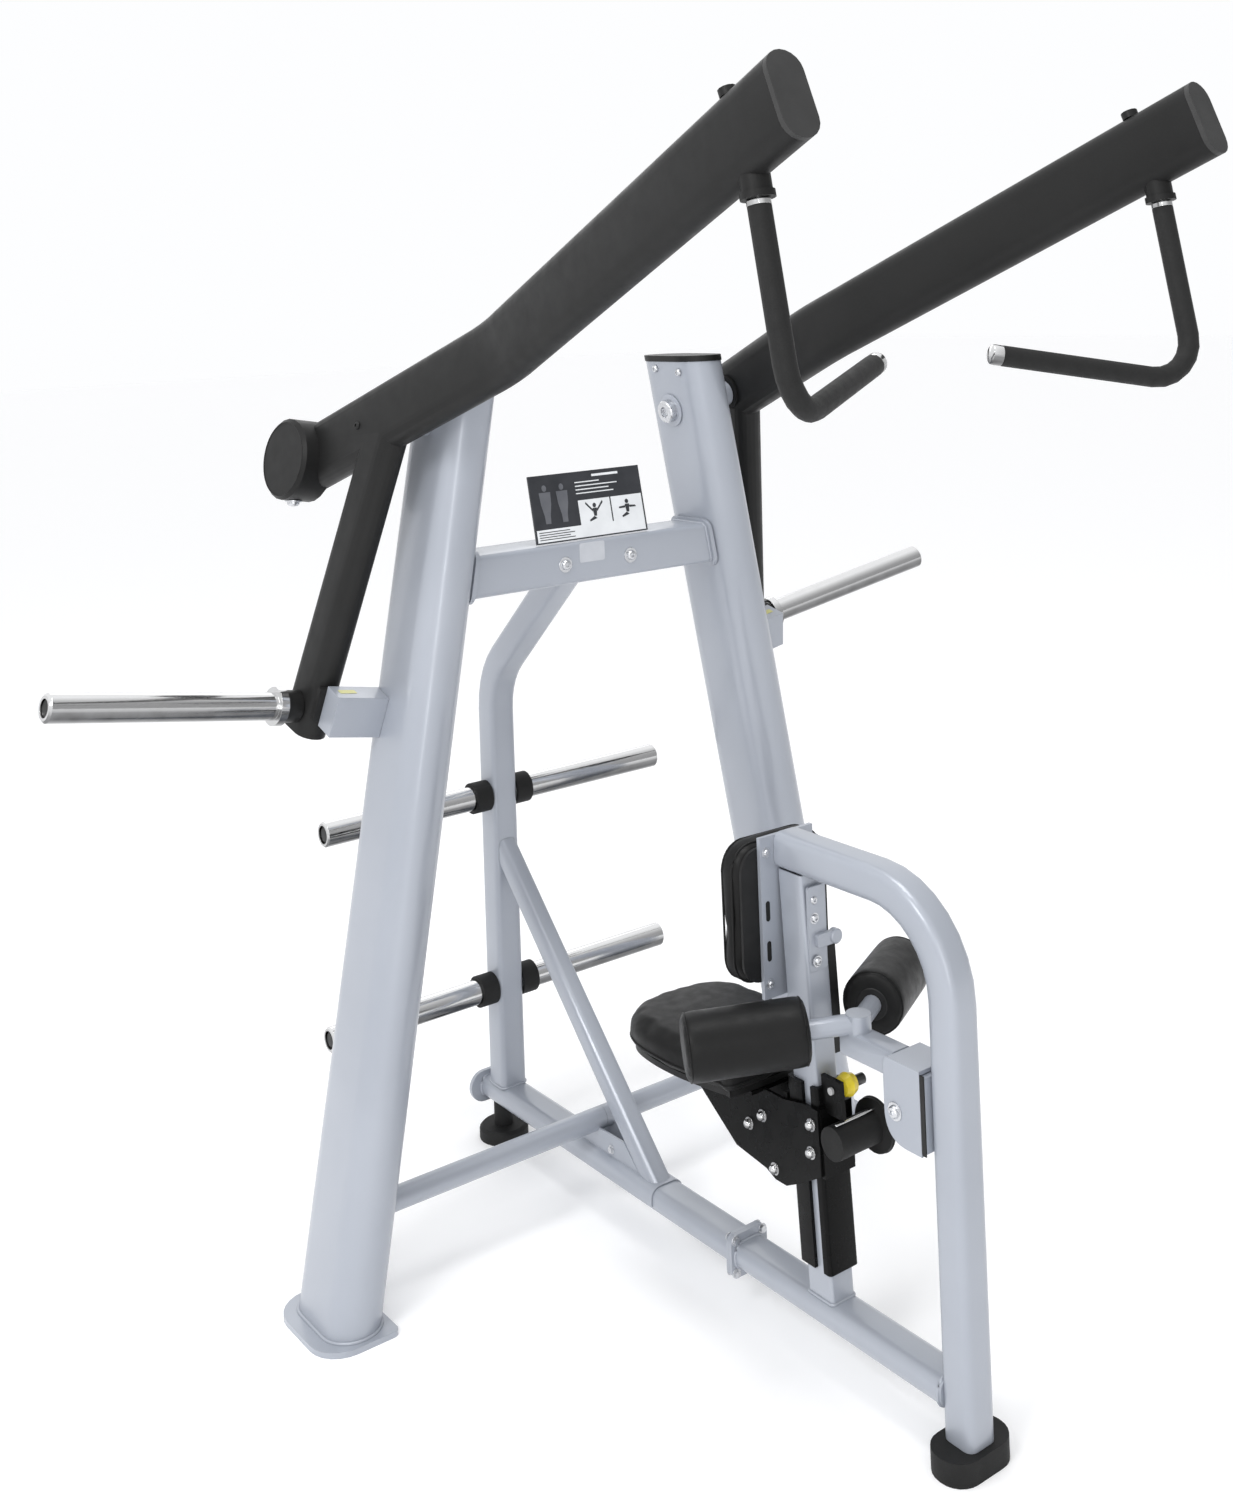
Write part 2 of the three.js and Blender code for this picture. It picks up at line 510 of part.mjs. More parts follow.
const rollerBore = THIGH.barRadius + 0.6;
const rollerShoulder = 6;
const boreEnd = THIGH.barEnd + 2;
const roller = [[rollerBore, ROLLER.inner], [ROLLER.radius - rollerShoulder, ROLLER.inner]];
roller.push([ROLLER.radius, ROLLER.inner + rollerShoulder], [ROLLER.radius, ROLLER.outer - rollerShoulder]);
roller.push([ROLLER.radius - rollerShoulder, ROLLER.outer], [0, ROLLER.outer]);
roller.push([0, boreEnd], [rollerBore, boreEnd], [rollerBore, ROLLER.inner]);
addPair('thigh_roller', turnedAlong(roller, thighHub, sweptBack, 24), upholstery);

// ---- seat on a carriage that slides on the column's black rail ----
const seatHalf = [[0, 0], [50, 7], [94, 30], [124, 70], [136, 130], [134, 200], [124, 262], [112, 312], [100, 336]];
const seatRight = seatHalf.map(([x, back]) => new THREE.Vector2(x, SEAT.nose - back));
const seatLeft = seatHalf.slice(1).reverse().map(([x, back]) => new THREE.Vector2(-x, SEAT.nose - back));
add('seat_pad', prism([...seatRight, ...seatLeft], SEAT.top - SEAT.thick, SEAT.top), upholstery());

// The rail is a front and a rear channel with a slit down each side, where the column shows.
const railHalf = RAIL.depth / 2;
const railTube = onColumn(prism(
  roundRect(RAIL.width, RAIL.depth, 6, 3), RAIL.bottom, RAIL.top,
  roundRect(RAIL.width - 2 * RAIL.wall, RAIL.depth - 2 * RAIL.wall, 6, 2),
));
const slitFront = -railHalf + 16;
const slitRear = slitFront + RAIL.slit;
const onlyRear = onColumn(box(-60, 60, slitRear, 60, 0, 700));
const onlyFront = onColumn(box(-60, 60, -60, slitFront, 0, 700));
add('seat_rail_front', skin(solid(railTube).intersect(solid(onlyFront))), armBlack());
add('seat_rail_rear', skin(solid(railTube).intersect(solid(onlyRear))), armBlack());

const seatBottom = SEAT.top - SEAT.thick - GAP;
const sideProfile = [
  [-322, seatBottom], [-352, 388], [-470, 306], [-548, 296], [-572, 286], [-600, 286],
  [-640, 306], [-688, 334], [-684, 440], [-650, 440], [-600, seatBottom],
];
const sideShape = new THREE.Shape(sideProfile.map(([y, z]) => new THREE.Vector2(y, z)));
const sideInner = RAIL.width / 2 + 2 * GAP;
const cheek = (x) => {
  const plate = new THREE.ExtrudeGeometry(sideShape, { depth: SEAT_FRAME.plate, bevelEnabled: false });
  return plate.applyMatrix4(sideToX).translate(x, 0, 0);
};
const { topHalf, plate: cheekThick, front: collarFront, collarBottom, collarTop } = SEAT_FRAME;
const { lugHalf, lugTop } = SEAT_FRAME;
const collarRear = railHalf + 2 * GAP;
const collarPlate = (y) => onColumn(box(-sideInner - 1, sideInner + 1, y, y + collarFront, collarBottom, collarTop));
const lugX = KNOB.x + lugHalf;
const knobLug = onColumn(box(
  lugX - lugHalf / 2, lugX + lugHalf / 2,
  -collarRear - KNOB.ahead - 22, -collarRear,
  collarTop - 8, lugTop,
));
const columnFrontFace = (z, ahead) => columnY(z) - collarRear - ahead;
const knobStart = vec(KNOB.x, columnFrontFace(KNOB.z, KNOB.ahead), KNOB.z);
const pinClear = KNOB.pinRadius + GAP;
const knobRoom = turnedAlong([[0, -30], [pinClear, -30], [pinClear, 60], [0, 60]], knobStart, sideways, 16);
const seatFrame = joined(
  cheek(sideInner),
  cheek(-sideInner - cheekThick),
  box(-topHalf, topHalf, -545, -330, seatBottom - cheekThick, seatBottom),
  collarPlate(collarRear),
  collarPlate(-collarRear - collarFront),
  knobLug,
);
add('seat_frame', skin(without(seatFrame, knobRoom)), armBlack());

// A black guide drum across the carriage's front, with a flange at its right end.
const { radius: drumRadius, flange: drumFlange, length: drumLength } = GRIP;
const guide = [[0, 0], [drumRadius, 0], [drumRadius, drumLength - 14], [drumFlange, drumLength - 11]];
guide.push([drumFlange, drumLength - 2], [drumFlange - 3, drumLength], [0, drumLength]);
const guideStart = vec(GRIP.x, columnFrontFace(GRIP.z, collarFront + GAP + drumRadius), GRIP.z);
add('seat_grip', turnedAlong(guide, guideStart, sideways, 24), rubber());

// A pull knob on a pin across the carriage: chrome pin, yellow ball, black end.
const { pinRadius, radius: knobRadius, endRadius } = KNOB;
const ball = [6, 3, 0].map((k) => [knobRadius * Math.cos((k * Math.PI) / 14), 38 - knobRadius * Math.sin((k * Math.PI) / 14)]);
const knobProfile = [[0, 0], [pinRadius, 0], [pinRadius, 19], ...ball, [knobRadius * 0.8, 50]];
knobProfile.push([endRadius, 54], [endRadius, 74], [endRadius - 2, 76], [0, 76]);
add('seat_knob', turnedAlong(knobProfile, knobStart, sideways, 16), paint(0xd8c62a, 0.5, 0));

// ---- pivot shafts and stops on the uprights ----
const armInner = ARM.offset - ARM.width / 2;
const faceO = UPRIGHT.width / 2 * Math.cos(LEAN) + GAP;
const shaftLength = ARM.offset + ARM.width / 2 - ARM.wall - 14 - faceO;
const hubInner = armInner - 8;
const flangeTop = hubInner - faceO - 1;
const shaftProfile = [[0, 0], [HUB.flange, 0], [HUB.flange, flangeTop], [HUB.shaft, flangeTop]];
shaftProfile.push([HUB.shaft, shaftLength], [0, shaftLength]);
addPair('pivot_shaft', turnedAlong(shaftProfile, onPost(faceO, 0, PIVOT_T), outward), frameGrey);

const stopMiddle = WEIGHT_ARM.height / 2 + STOP.pad + 2 * GAP + STOP.depth / 2;
const stopBox = new THREE.BoxGeometry(STOP.reach, STOP.depth, STOP.height);
const stopPad = new THREE.BoxGeometry(ARM.width - 6, STOP.pad, STOP.height - 14);
const tilted = new THREE.Matrix4().makeRotationX(WEIGHT_ARM.tilt);
const placeStop = (geometry, o, ahead) => {
  const centre = hangPoint(STOP.distance, ahead).addScaledVector(outward, o - ARM.offset);
  return geometry.applyMatrix4(tilted).applyQuaternion(
    new THREE.Quaternion().setFromRotationMatrix(postFrame),
  ).translate(centre.x, centre.y, centre.z);
};
placeStop(stopBox, STOP.reach / 2 + 10, stopMiddle);
addPair('stop_box', skin(without(solid(stopBox), uprightClear)), frameGrey);
placeStop(stopPad, ARM.offset, WEIGHT_ARM.height / 2 + GAP + STOP.pad / 2);
addPair('stop_pad', stopPad, rubber);

// ---- lever arms ----
const armEnd = vec(...ARM_END);
const armCorner = rearPoint(-ARM_BEND);
const armRear = rearPoint(COUNTERWEIGHT.distance);
const armSection = (shrink) => outline(stadium(ARM.width - shrink, ARM.height - shrink, 5));
const bore = 2 * ARM.wall;
const armForward = armEnd.clone().sub(armCorner).normalize();
const level = vec(1, 0, 0);
const armTube = sweep(armSection(0), [armRear, armCorner, armEnd], [ARM_BEND_RADIUS], armOut, 4, level);
const beyondEnd = armEnd.clone().addScaledVector(armForward, 10);
const armHollow = sweep(armSection(bore), [rearPoint(SOLID_FROM), armCorner, beyondEnd], [ARM_BEND_RADIUS], armOut, 4, level);
const weightShape = (shrink) => outline(stadium(ARM.width - shrink, WEIGHT_ARM.height - shrink, 5));
const weightTube = straight(weightShape(0), hangPoint(20), hangPoint(WEIGHT_ARM.length), armOut);
const weightBore = weightShape(2 * WEIGHT_ARM.wall);
const weightHollow = straight(weightBore, hangPoint(20), hangPoint(WEIGHT_ARM.filledFrom), armOut);
const drumRoomProfile = [[0, 0], [COUNTERWEIGHT.radius + GAP, 0], [COUNTERWEIGHT.radius + GAP, 200], [0, 200]];
const drumInner = COUNTERWEIGHT.side - COUNTERWEIGHT.length / 2;
const drumRoom = turnedAlong(drumRoomProfile, rearPoint(COUNTERWEIGHT.distance, drumInner - GAP), armOut);
const hubRadius = HUB.radius;
const hubOuter = ARM.offset + ARM.width / 2 - ARM.wall - 5;
const hubRoomProfile = [[0, 0], [hubRadius + GAP, 0], [hubRadius + GAP, hubOuter + GAP - 40], [0, hubOuter + GAP - 40]];
const hubRoom = turnedAlong(hubRoomProfile, onPost(40, 0, PIVOT_T), outward);
const stemDown = new THREE.Vector3().crossVectors(armForward, level).normalize();
if (stemDown.z > 0) stemDown.negate();
const stemRoot = armEnd.clone().addScaledVector(armForward, -HANDLE.back);
const topTab = turnedAlong([[0, 0], [14, 0], [14, 12], [0, 14]],
  stemRoot.clone().addScaledVector(stemDown, -ARM.height / 2 + 1), stemDown.clone().negate(), 12);
const armSolid = joined(armTube, weightTube, topTab).subtract(joined(armHollow, weightHollow));
addPair('main_arm', skin(without(armSolid, drumRoom, hubRoom)), armBlack);

const hubDepth = hubOuter - hubInner;
const hubProfile = [[HUB.bore, 0], [hubRadius, 0], [hubRadius, hubDepth], [0, hubDepth]];
hubProfile.push([0, hubDepth - 6], [HUB.bore, hubDepth - 6], [HUB.bore, 0]);
addPair('arm_hub', turnedAlong(hubProfile, onPost(hubInner, 0, PIVOT_T), outward), armBlack);

const capStart = armEnd.clone().addScaledVector(armForward, GAP);
const capEnd = capStart.clone().addScaledVector(armForward, ARM_CAP);
addPair('arm_end_cap', straight(armSection(0), capStart, capEnd, level), rubber);

const drumHalf = COUNTERWEIGHT.length / 2;
const drumStart = rearPoint(COUNTERWEIGHT.distance, drumInner);
const drumR = COUNTERWEIGHT.radius;
const drum = [[0, 0], [drumR - 4, 0], [drumR, 4], [drumR, 2 * drumHalf - 6], [drumR - 6, 2 * drumHalf], [0, 2 * drumHalf]];
addPair('counterweight', turnedAlong(drum, drumStart, armOut), armBlack);

const hornRoot = hangPoint(HORN.distance, 0, ARM.width / 2 + GAP);
const { stub, stubRadius, collar, collarRadius, radius: hornR, length: hornLength } = HORN;
const hornEnd = stub + collar + hornLength;
const horn = [[0, 0], [stubRadius, 0], [stubRadius, stub], [collarRadius, stub], [collarRadius, stub + collar]];
horn.push([hornR, stub + collar], [hornR, hornEnd - 4], [hornR - 4, hornEnd], [hornR - 9, hornEnd]);
horn.push([hornR - 9, hornEnd - 14], [0, hornEnd - 14]);
addPair('loading_horn', turnedAlong(horn, hornRoot, armOut), chrome);

// ---- swivelling handles under the arms' front ends ----
const stemAxis = vec(0, -Math.sin(HANDLE_TILT), -Math.cos(HANDLE_TILT));
const stemTop = stemRoot.clone().addScaledVector(stemDown, ARM.height / 2);
const { radius: swivelRadius, flange: swivelFlange, depth: swivelDepth, clear: swivelClear } = SWIVEL;
const swivelBore = HANDLE.barRadius + swivelClear;
const blockProfile = [[swivelBore, -20], [swivelRadius, -20], [swivelRadius, swivelDepth - 10]];
blockProfile.push([swivelFlange, swivelDepth - 10], [swivelFlange, swivelDepth], [swivelBore, swivelDepth]);
blockProfile.push([swivelBore, -20]);
const armClearShape = outline(stadium(ARM.width + 2 * GAP, ARM.height + 2 * GAP, 5));
const armClear = straight(armClearShape, armCorner, beyondEnd, level);
const block = without(solid(turnedAlong(blockProfile, stemTop, stemAxis, 20)), armClear);
addPair('swivel_block', skin(block), armBlack);

const barTop = stemTop.clone().addScaledVector(stemAxis, 7);
const barCorner = stemTop.clone().addScaledVector(stemAxis, HANDLE.drop);
const gripEnd = barCorner.clone().add(vec(...HANDLE_GRIP));
const gripLine = gripEnd.clone().sub(barCorner).normalize();
const bendSide = new THREE.Vector3().crossVectors(stemAxis, gripLine).normalize();
const barShape = outline(circle(HANDLE.barRadius, 12), circle(HANDLE.barRadius - HANDLE.wall, 12));
addPair('handle_bar', sweep(barShape, [barTop, barCorner, gripEnd], [HANDLE.bendRadius], bendSide), chrome);

const gripShape = outline(circle(HANDLE.gripRadius, 12), circle(HANDLE.barRadius + GAP, 12));
const gripTop = stemTop.clone().addScaledVector(stemAxis, swivelDepth + 10);
const gripTip = gripEnd.clone().addScaledVector(gripLine, -14);
addPair('handle_grip', sweep(gripShape, [gripTop, barCorner, gripTip], [HANDLE.bendRadius], bendSide), rubber);

// The origin is the middle of the front foot's underside.
group.position.set(0, -FRONT_POST.y, 0);

export default group;
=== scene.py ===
"""Looks of a plate-loaded front pulldown machine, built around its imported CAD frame. Metres, +Z up."""
import json
import math

import bmesh
import bpy
import numpy as np
from mathutils import Matrix, Vector
from mathutils.bvhtree import BVHTree


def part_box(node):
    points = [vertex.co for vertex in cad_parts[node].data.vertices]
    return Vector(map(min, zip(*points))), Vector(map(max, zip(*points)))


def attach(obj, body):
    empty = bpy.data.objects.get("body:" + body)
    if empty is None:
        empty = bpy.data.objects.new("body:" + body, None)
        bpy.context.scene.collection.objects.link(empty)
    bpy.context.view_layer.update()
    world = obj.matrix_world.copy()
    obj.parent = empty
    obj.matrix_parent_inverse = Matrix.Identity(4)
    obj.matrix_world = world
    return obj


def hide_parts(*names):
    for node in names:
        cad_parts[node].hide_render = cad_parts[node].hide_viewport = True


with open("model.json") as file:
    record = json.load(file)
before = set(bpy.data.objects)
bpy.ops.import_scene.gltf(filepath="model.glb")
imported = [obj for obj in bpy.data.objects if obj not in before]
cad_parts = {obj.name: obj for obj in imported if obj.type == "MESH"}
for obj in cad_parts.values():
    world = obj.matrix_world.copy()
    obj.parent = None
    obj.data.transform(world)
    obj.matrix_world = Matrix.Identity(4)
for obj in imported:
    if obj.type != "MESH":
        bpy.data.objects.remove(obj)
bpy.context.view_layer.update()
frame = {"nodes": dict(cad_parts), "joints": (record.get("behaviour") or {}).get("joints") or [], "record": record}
NODES = frame["nodes"]
JOINTS = {j["name"]: j for j in frame["joints"]}

X = Vector((1, 0, 0))
Y = Vector((0, 1, 0))
Z = Vector((0, 0, 1))
FACING_FRONT = Matrix((X, Z, -Y)).transposed()     # a flat outline's X and Y become X and Z, facing -Y
FACING_SIDE = Matrix((Y, Z, X)).transposed()       # and Y and Z, facing +X
Y0 = JOINTS["arm_right_pivot"]["pos_m"][1]         # the plane of the uprights and the arm pivots


# ---------------------------------------------------------------- camera, light and floor
def make_camera():
    place = Vector((-1.9061, Y0 - 2.7914, 1.7922))
    yaw, pitch, roll = (math.radians(a) for a in (37.42, 1.49, -2.05))
    ahead = Vector((math.sin(yaw) * math.cos(pitch), math.cos(yaw) * math.cos(pitch), math.sin(pitch)))
    level = Vector((math.cos(yaw), -math.sin(yaw), 0))
    above = level.cross(ahead)
    right = math.cos(roll) * level + math.sin(roll) * above
    up = -math.sin(roll) * level + math.cos(roll) * above
    data = bpy.data.cameras.new("camera")
    data.lens = 40.41
    data.sensor_width = 36
    data.shift_x = -0.0309
    data.shift_y = -0.3342
    data.clip_end = 60
    camera = bpy.data.objects.new("camera", data)
    turn = Matrix((right, up, -ahead)).transposed()
    camera.matrix_world = Matrix.Translation(place) @ turn.to_4x4()
    bpy.context.scene.collection.objects.link(camera)
    bpy.context.scene.camera = camera


def area_light(name, place, target, size, power):
    data = bpy.data.lights.new(name, "AREA")
    data.shape = "RECTANGLE"
    data.size, data.size_y = size
    data.energy = power
    light = bpy.data.objects.new(name, data)
    light.location = place
    light.rotation_euler = (Vector(target) - Vector(place)).to_track_quat("-Z", "Y").to_euler()
    bpy.context.scene.collection.objects.link(light)


def make_studio():
    world = bpy.data.worlds.new("studio")
    bpy.context.scene.world = world
    world.use_nodes = True
    tree = world.node_tree
    background = tree.nodes["Background"]
    background.inputs["Color"].default_value = (0.985, 0.99, 1.0, 1)
    # one side of the room is darker, so that tubes and chrome have a light and a dark side
    direction = tree.nodes.new("ShaderNodeTexCoord")
    across = tree.nodes.new("ShaderNodeVectorMath")
    across.operation = "DOT_PRODUCT"
    across.inputs[1].default_value = (0.794, -0.607, 0)
    fall = tree.nodes.new("ShaderNodeMapRange")
    limits = {"From Min": 0.35, "From Max": 0.85, "To Min": 1.0, "To Max": 0.42}
    for socket, value in limits.items():
        fall.inputs[socket].default_value = value
    tree.links.new(direction.outputs["Generated"], across.inputs[0])
    tree.links.new(across.outputs["Value"], fall.inputs["Value"])
    tree.links.new(fall.outputs["Result"], background.inputs["Strength"])
    bpy.context.scene.view_settings.view_transform = "Standard"
    machine = (0, Y0 - 0.3, 1.0)
    area_light("key", (-3.6, Y0 - 1.6, 3.8), machine, (1.2, 1.2), 56)
    area_light("top", (-0.4, Y0 - 0.7, 4.6), machine, (1.6, 1.6), 52)
    area_light("strip", (-3.0, Y0 - 4.2, 1.8), machine, (0.30, 2.6), 26)
    area_light("rim", (1.6, Y0 + 3.6, 3.2), machine, (2.6, 1.6), 10)
    floor_mesh = bpy.data.meshes.new("floor")
    half = 40
    corners = [(-half, -half, 0), (half, -half, 0), (half, half, 0), (-half, half, 0)]
    floor_mesh.from_pydata(corners, [], [(0, 1, 2, 3)])
    floor = bpy.data.objects.new("floor", floor_mesh)
    bpy.context.scene.collection.objects.link(floor)
    pale = bpy.data.materials.new("pale_floor")
    pale.use_nodes = True
    shader = pale.node_tree.nodes["Principled BSDF"]
    shader.inputs["Base Color"].default_value = (0.95, 0.95, 0.955, 1)
    shader.inputs["Roughness"].default_value = 0.7
    shader.inputs["Emission Color"].default_value = (1, 1, 1, 1)
    shader.inputs["Emission Strength"].default_value = 0.11
    floor_mesh.materials.append(pale)


# ---------------------------------------------------------------- materials
class Shader:
    """A principled material whose colour, roughness and bump come from procedural nodes."""

    def __init__(self, name, **constants):
        self.material = bpy.data.materials.new(name)
        self.material.use_nodes = True
        self.tree = self.material.node_tree
        self.bsdf = self.tree.nodes["Principled BSDF"]
        for socket, value in constants.items():
            self.bsdf.inputs[socket.replace("_", " ")].default_value = value
        self.coordinates = self.add("ShaderNodeTexCoord").outputs["Object"]

    def add(self, kind, **settings):
        node = self.tree.nodes.new(kind)
        for key, value in settings.items():
            setattr(node, key, value)
        return node

    def link(self, start, end):
        self.tree.links.new(start, end)

    def stretched(self, scale):
        mapping = self.add("ShaderNodeMapping")
        mapping.inputs["Scale"].default_value = scale
        self.link(self.coordinates, mapping.inputs["Vector"])
        return mapping.outputs["Vector"]

    def noise(self, scale, detail=2, vector=None):
        node = self.add("ShaderNodeTexNoise")
        node.inputs["Scale"].default_value = scale
        node.inputs["Detail"].default_value = detail
        self.link(vector or self.coordinates, node.inputs["Vector"])
        return node.outputs["Fac"]

    def cells(self, scale):
        node = self.add("ShaderNodeTexVoronoi", feature="F1")
        node.inputs["Scale"].default_value = scale
        self.link(self.coordinates, node.inputs["Vector"])
        return node.outputs["Distance"]

    def ramp(self, factor, *stops):
        node = self.add("ShaderNodeValToRGB")
        elements = node.color_ramp.elements
        while len(elements) < len(stops):
            elements.new(0.5)
        for element, (position, colour) in zip(elements, stops):
            element.position = position
            element.color = colour if len(colour) == 4 else (*colour, 1)
        self.link(factor, node.inputs["Fac"])
        return node.outputs["Color"]

    def range(self, factor, low, high, from_low=0.3, from_high=0.7):
        node = self.add("ShaderNodeMapRange")
        limits = {"From Min": from_low, "From Max": from_high, "To Min": low, "To Max": high}
        for socket, value in limits.items():
            node.inputs[socket].default_value = value
        self.link(factor, node.inputs["Value"])
        return node.outputs["Result"]

    def mix(self, factor, a, b):
        node = self.add("ShaderNodeMix", data_type="RGBA", blend_type="MIX")
        for name, value in (("Factor", factor), (6, a), (7, b)):
            socket = node.inputs[name]
            if isinstance(value, (float, int, tuple)):
                socket.default_value = value
            else:
                self.link(value, socket)
        return node.outputs[2]

    def colour(self, output):
        self.link(output, self.bsdf.inputs["Base Color"])

    def roughness(self, output):
        self.link(output, self.bsdf.inputs["Roughness"])

    def bump(self, *layers, rounded=0):
        """Each layer is (height output, strength, distance in metres), the finest last."""
        normal = None
        if rounded:
            node = self.add("ShaderNodeBevel", samples=4)
            node.inputs["Radius"].default_value = rounded
            normal = node.outputs["Normal"]
        for height, strength, distance in layers:
            node = self.add("ShaderNodeBump")
            node.inputs["Strength"].default_value = strength
            node.inputs["Distance"].default_value = distance
            self.link(height, node.inputs["Height"])
            if normal is not None:
                self.link(normal, node.inputs["Normal"])
            normal = node.outputs["Normal"]
        self.link(normal, self.bsdf.inputs["Normal"])


def grey(value):
    return (value, value, value, 1)


def frame_paint():
    s = Shader("silver_blue_powder_coat", Metallic=0.18, Coat_Weight=0.5, Coat_Roughness=0.16, IOR=1.5)
    broad = s.noise(3.2, 3)
    flake = s.noise(2600, 1)
    tone = s.ramp(broad, (0.30, (0.335, 0.360, 0.410)), (0.70, (0.372, 0.397, 0.447)))
    s.colour(s.mix(s.range(flake, 0.0, 0.16), tone, (0.50, 0.525, 0.575, 1)))
    s.roughness(s.range(s.noise(14, 3), 0.32, 0.42))
    s.bump((s.noise(520, 2), 0.16, 0.0002), (flake, 0.10, 0.0001), rounded=0.0016)
    return s.material


def black_coat(name, dark, light, fleck, rough, ior):
    s = Shader(name, Metallic=0.0, IOR=ior)
    broad = s.noise(4.5, 3)
    grain = s.cells(950)
    tone = s.ramp(broad, (0.30, grey(dark)), (0.72, grey(light)))
    s.colour(s.mix(s.range(grain, 0.0, 0.25, 0.2, 0.8), tone, grey(fleck)))
    s.roughness(s.range(s.noise(30, 3), rough - 0.06, rough + 0.06))
    s.bump((s.noise(420, 2), 0.05, 0.0001), (grain, 0.06, 0.0001))
    return s.material


# polished chrome, with a painted reflection in its base colour
def chrome():
    s = Shader("polished_chrome", Metallic=1.0)
    haze = s.noise(28, 4)
    scratches = s.noise(900, 2, s.stretched((0.06, 1, 1)))
    painted_reflection_normal = s.add("ShaderNodeNewGeometry")
    split = s.add("ShaderNodeSeparateXYZ")
    s.link(painted_reflection_normal.outputs["Normal"], split.inputs["Vector"])
    up = s.range(split.outputs["Z"], 0.0, 1.0, -1.0, 1.0)
    # painted reflection: the base colour is darker on faces that look down and lighter on faces that look up,
    # standing in for a darker room mirrored below
    stops = ((0.0, grey(0.30)), (0.20, grey(0.10)), (0.42, grey(0.20)))
    stops += ((0.56, grey(0.66)), (0.85, grey(0.84)))
    s.colour(s.mix(s.range(haze, 0.0, 0.12), s.ramp(up, *stops), (0.60, 0.61, 0.63, 1)))
    s.roughness(s.range(scratches, 0.09, 0.20))
    s.bump((scratches, 0.05, 0.0001), rounded=0.0012)
    return s.material


def zinc():
    s = Shader("zinc_plated_steel", Metallic=1.0)
    bloom = s.noise(160, 3)
    s.colour(s.ramp(bloom, (0.3, (0.55, 0.56, 0.58)), (0.7, (0.70, 0.71, 0.73))))
    s.roughness(s.range(bloom, 0.24, 0.36))
    s.bump((s.noise(1500, 2), 0.10, 0.0001))
    return s.material


def moulded(name, dark, light, rough, grain_scale, depth):
    s = Shader(name, IOR=1.36)
    broad = s.noise(22, 3)
    grain = s.noise(grain_scale, 2)
    s.colour(s.ramp(broad, (0.3, grey(dark)), (0.7, grey(light))))
    s.roughness(s.range(grain, rough - 0.06, rough + 0.06))
    s.bump((grain, 0.3, depth), rounded=0.0012)
    return s.material


def foam_grip():
    s = Shader("dense_foam_grip", IOR=1.30, Sheen_Weight=0.04, Sheen_Roughness=0.5)
    pores = s.cells(1500)
    s.colour(s.ramp(pores, (0.1, grey(0.010)), (0.8, grey(0.022))))
    s.roughness(s.range(s.noise(60, 2), 0.62, 0.76))
    s.bump((s.noise(90, 2), 0.15, 0.0004), (pores, 0.35, 0.0003))
    return s.material


def vinyl():
    sheen = {"Sheen_Weight": 0.01, "Sheen_Roughness": 0.4}
    s = Shader("black_vinyl", IOR=1.26, Coat_Weight=0.02, Coat_Roughness=0.3, **sheen)
    cells = s.cells(620)
    fine = s.cells(1300)
    wear = s.noise(7, 3)
    tone = s.ramp(wear, (0.3, grey(0.006)), (0.75, grey(0.010)))
    s.colour(s.mix(s.range(cells, 0.0, 0.22, 0.15, 0.75), tone, grey(0.016)))
    s.roughness(s.range(s.noise(46, 3), 0.36, 0.50))
    s.bump((s.noise(38, 3), 0.22, 0.0014), (cells, 0.30, 0.0004), (fine, 0.15, 0.0002))
    return s.material


def printed(name, low, high):
    s = Shader(name, Coat_Weight=0.3, Coat_Roughness=0.2)
    fade = s.noise(26, 3)
    s.colour(s.ramp(fade, (0.3, low), (0.7, high)))
    s.roughness(s.range(fade, 0.34, 0.44))
    s.bump((s.noise(800, 1), 0.06, 0.0001))
    return s.material


def knob_plastic(ball_from, grip_from):
    """Grey on the pin, yellow from one place along X and black from the next."""
    s = Shader("knob_plastic", Coat_Weight=0.3, Coat_Roughness=0.15)
    split = s.add("ShaderNodeSeparateXYZ")
    s.link(s.coordinates, split.inputs["Vector"])
    edge = 0.0004
    ball = s.range(split.outputs["X"], 0.0, 1.0, ball_from, ball_from + edge)
    end = s.range(split.outputs["X"], 0.0, 1.0, grip_from, grip_from + edge)
    shade = s.noise(120, 2)
    yellow = s.ramp(shade, (0.3, (0.68, 0.52, 0.02)), (0.7, (0.80, 0.64, 0.035)))
    s.colour(s.mix(end, s.mix(ball, grey(0.42), yellow), grey(0.02)))
    s.roughness(s.range(shade, 0.28, 0.38))
    s.bump((s.noise(900, 1), 0.08, 0.0001))
    return s.material


# ---------------------------------------------------------------- mesh tools
def frame_along(axis, hint=None):
    """Rotation whose local Z is the axis and local X lies near the hint."""
    w = Vector(axis).normalized()
    hint = Vector(hint) if hint else (Z if abs(w.z) < 0.9 else X)
    u = (hint - w * hint.dot(w)).normalized()
    return Matrix((u, w.cross(u), w)).transposed()


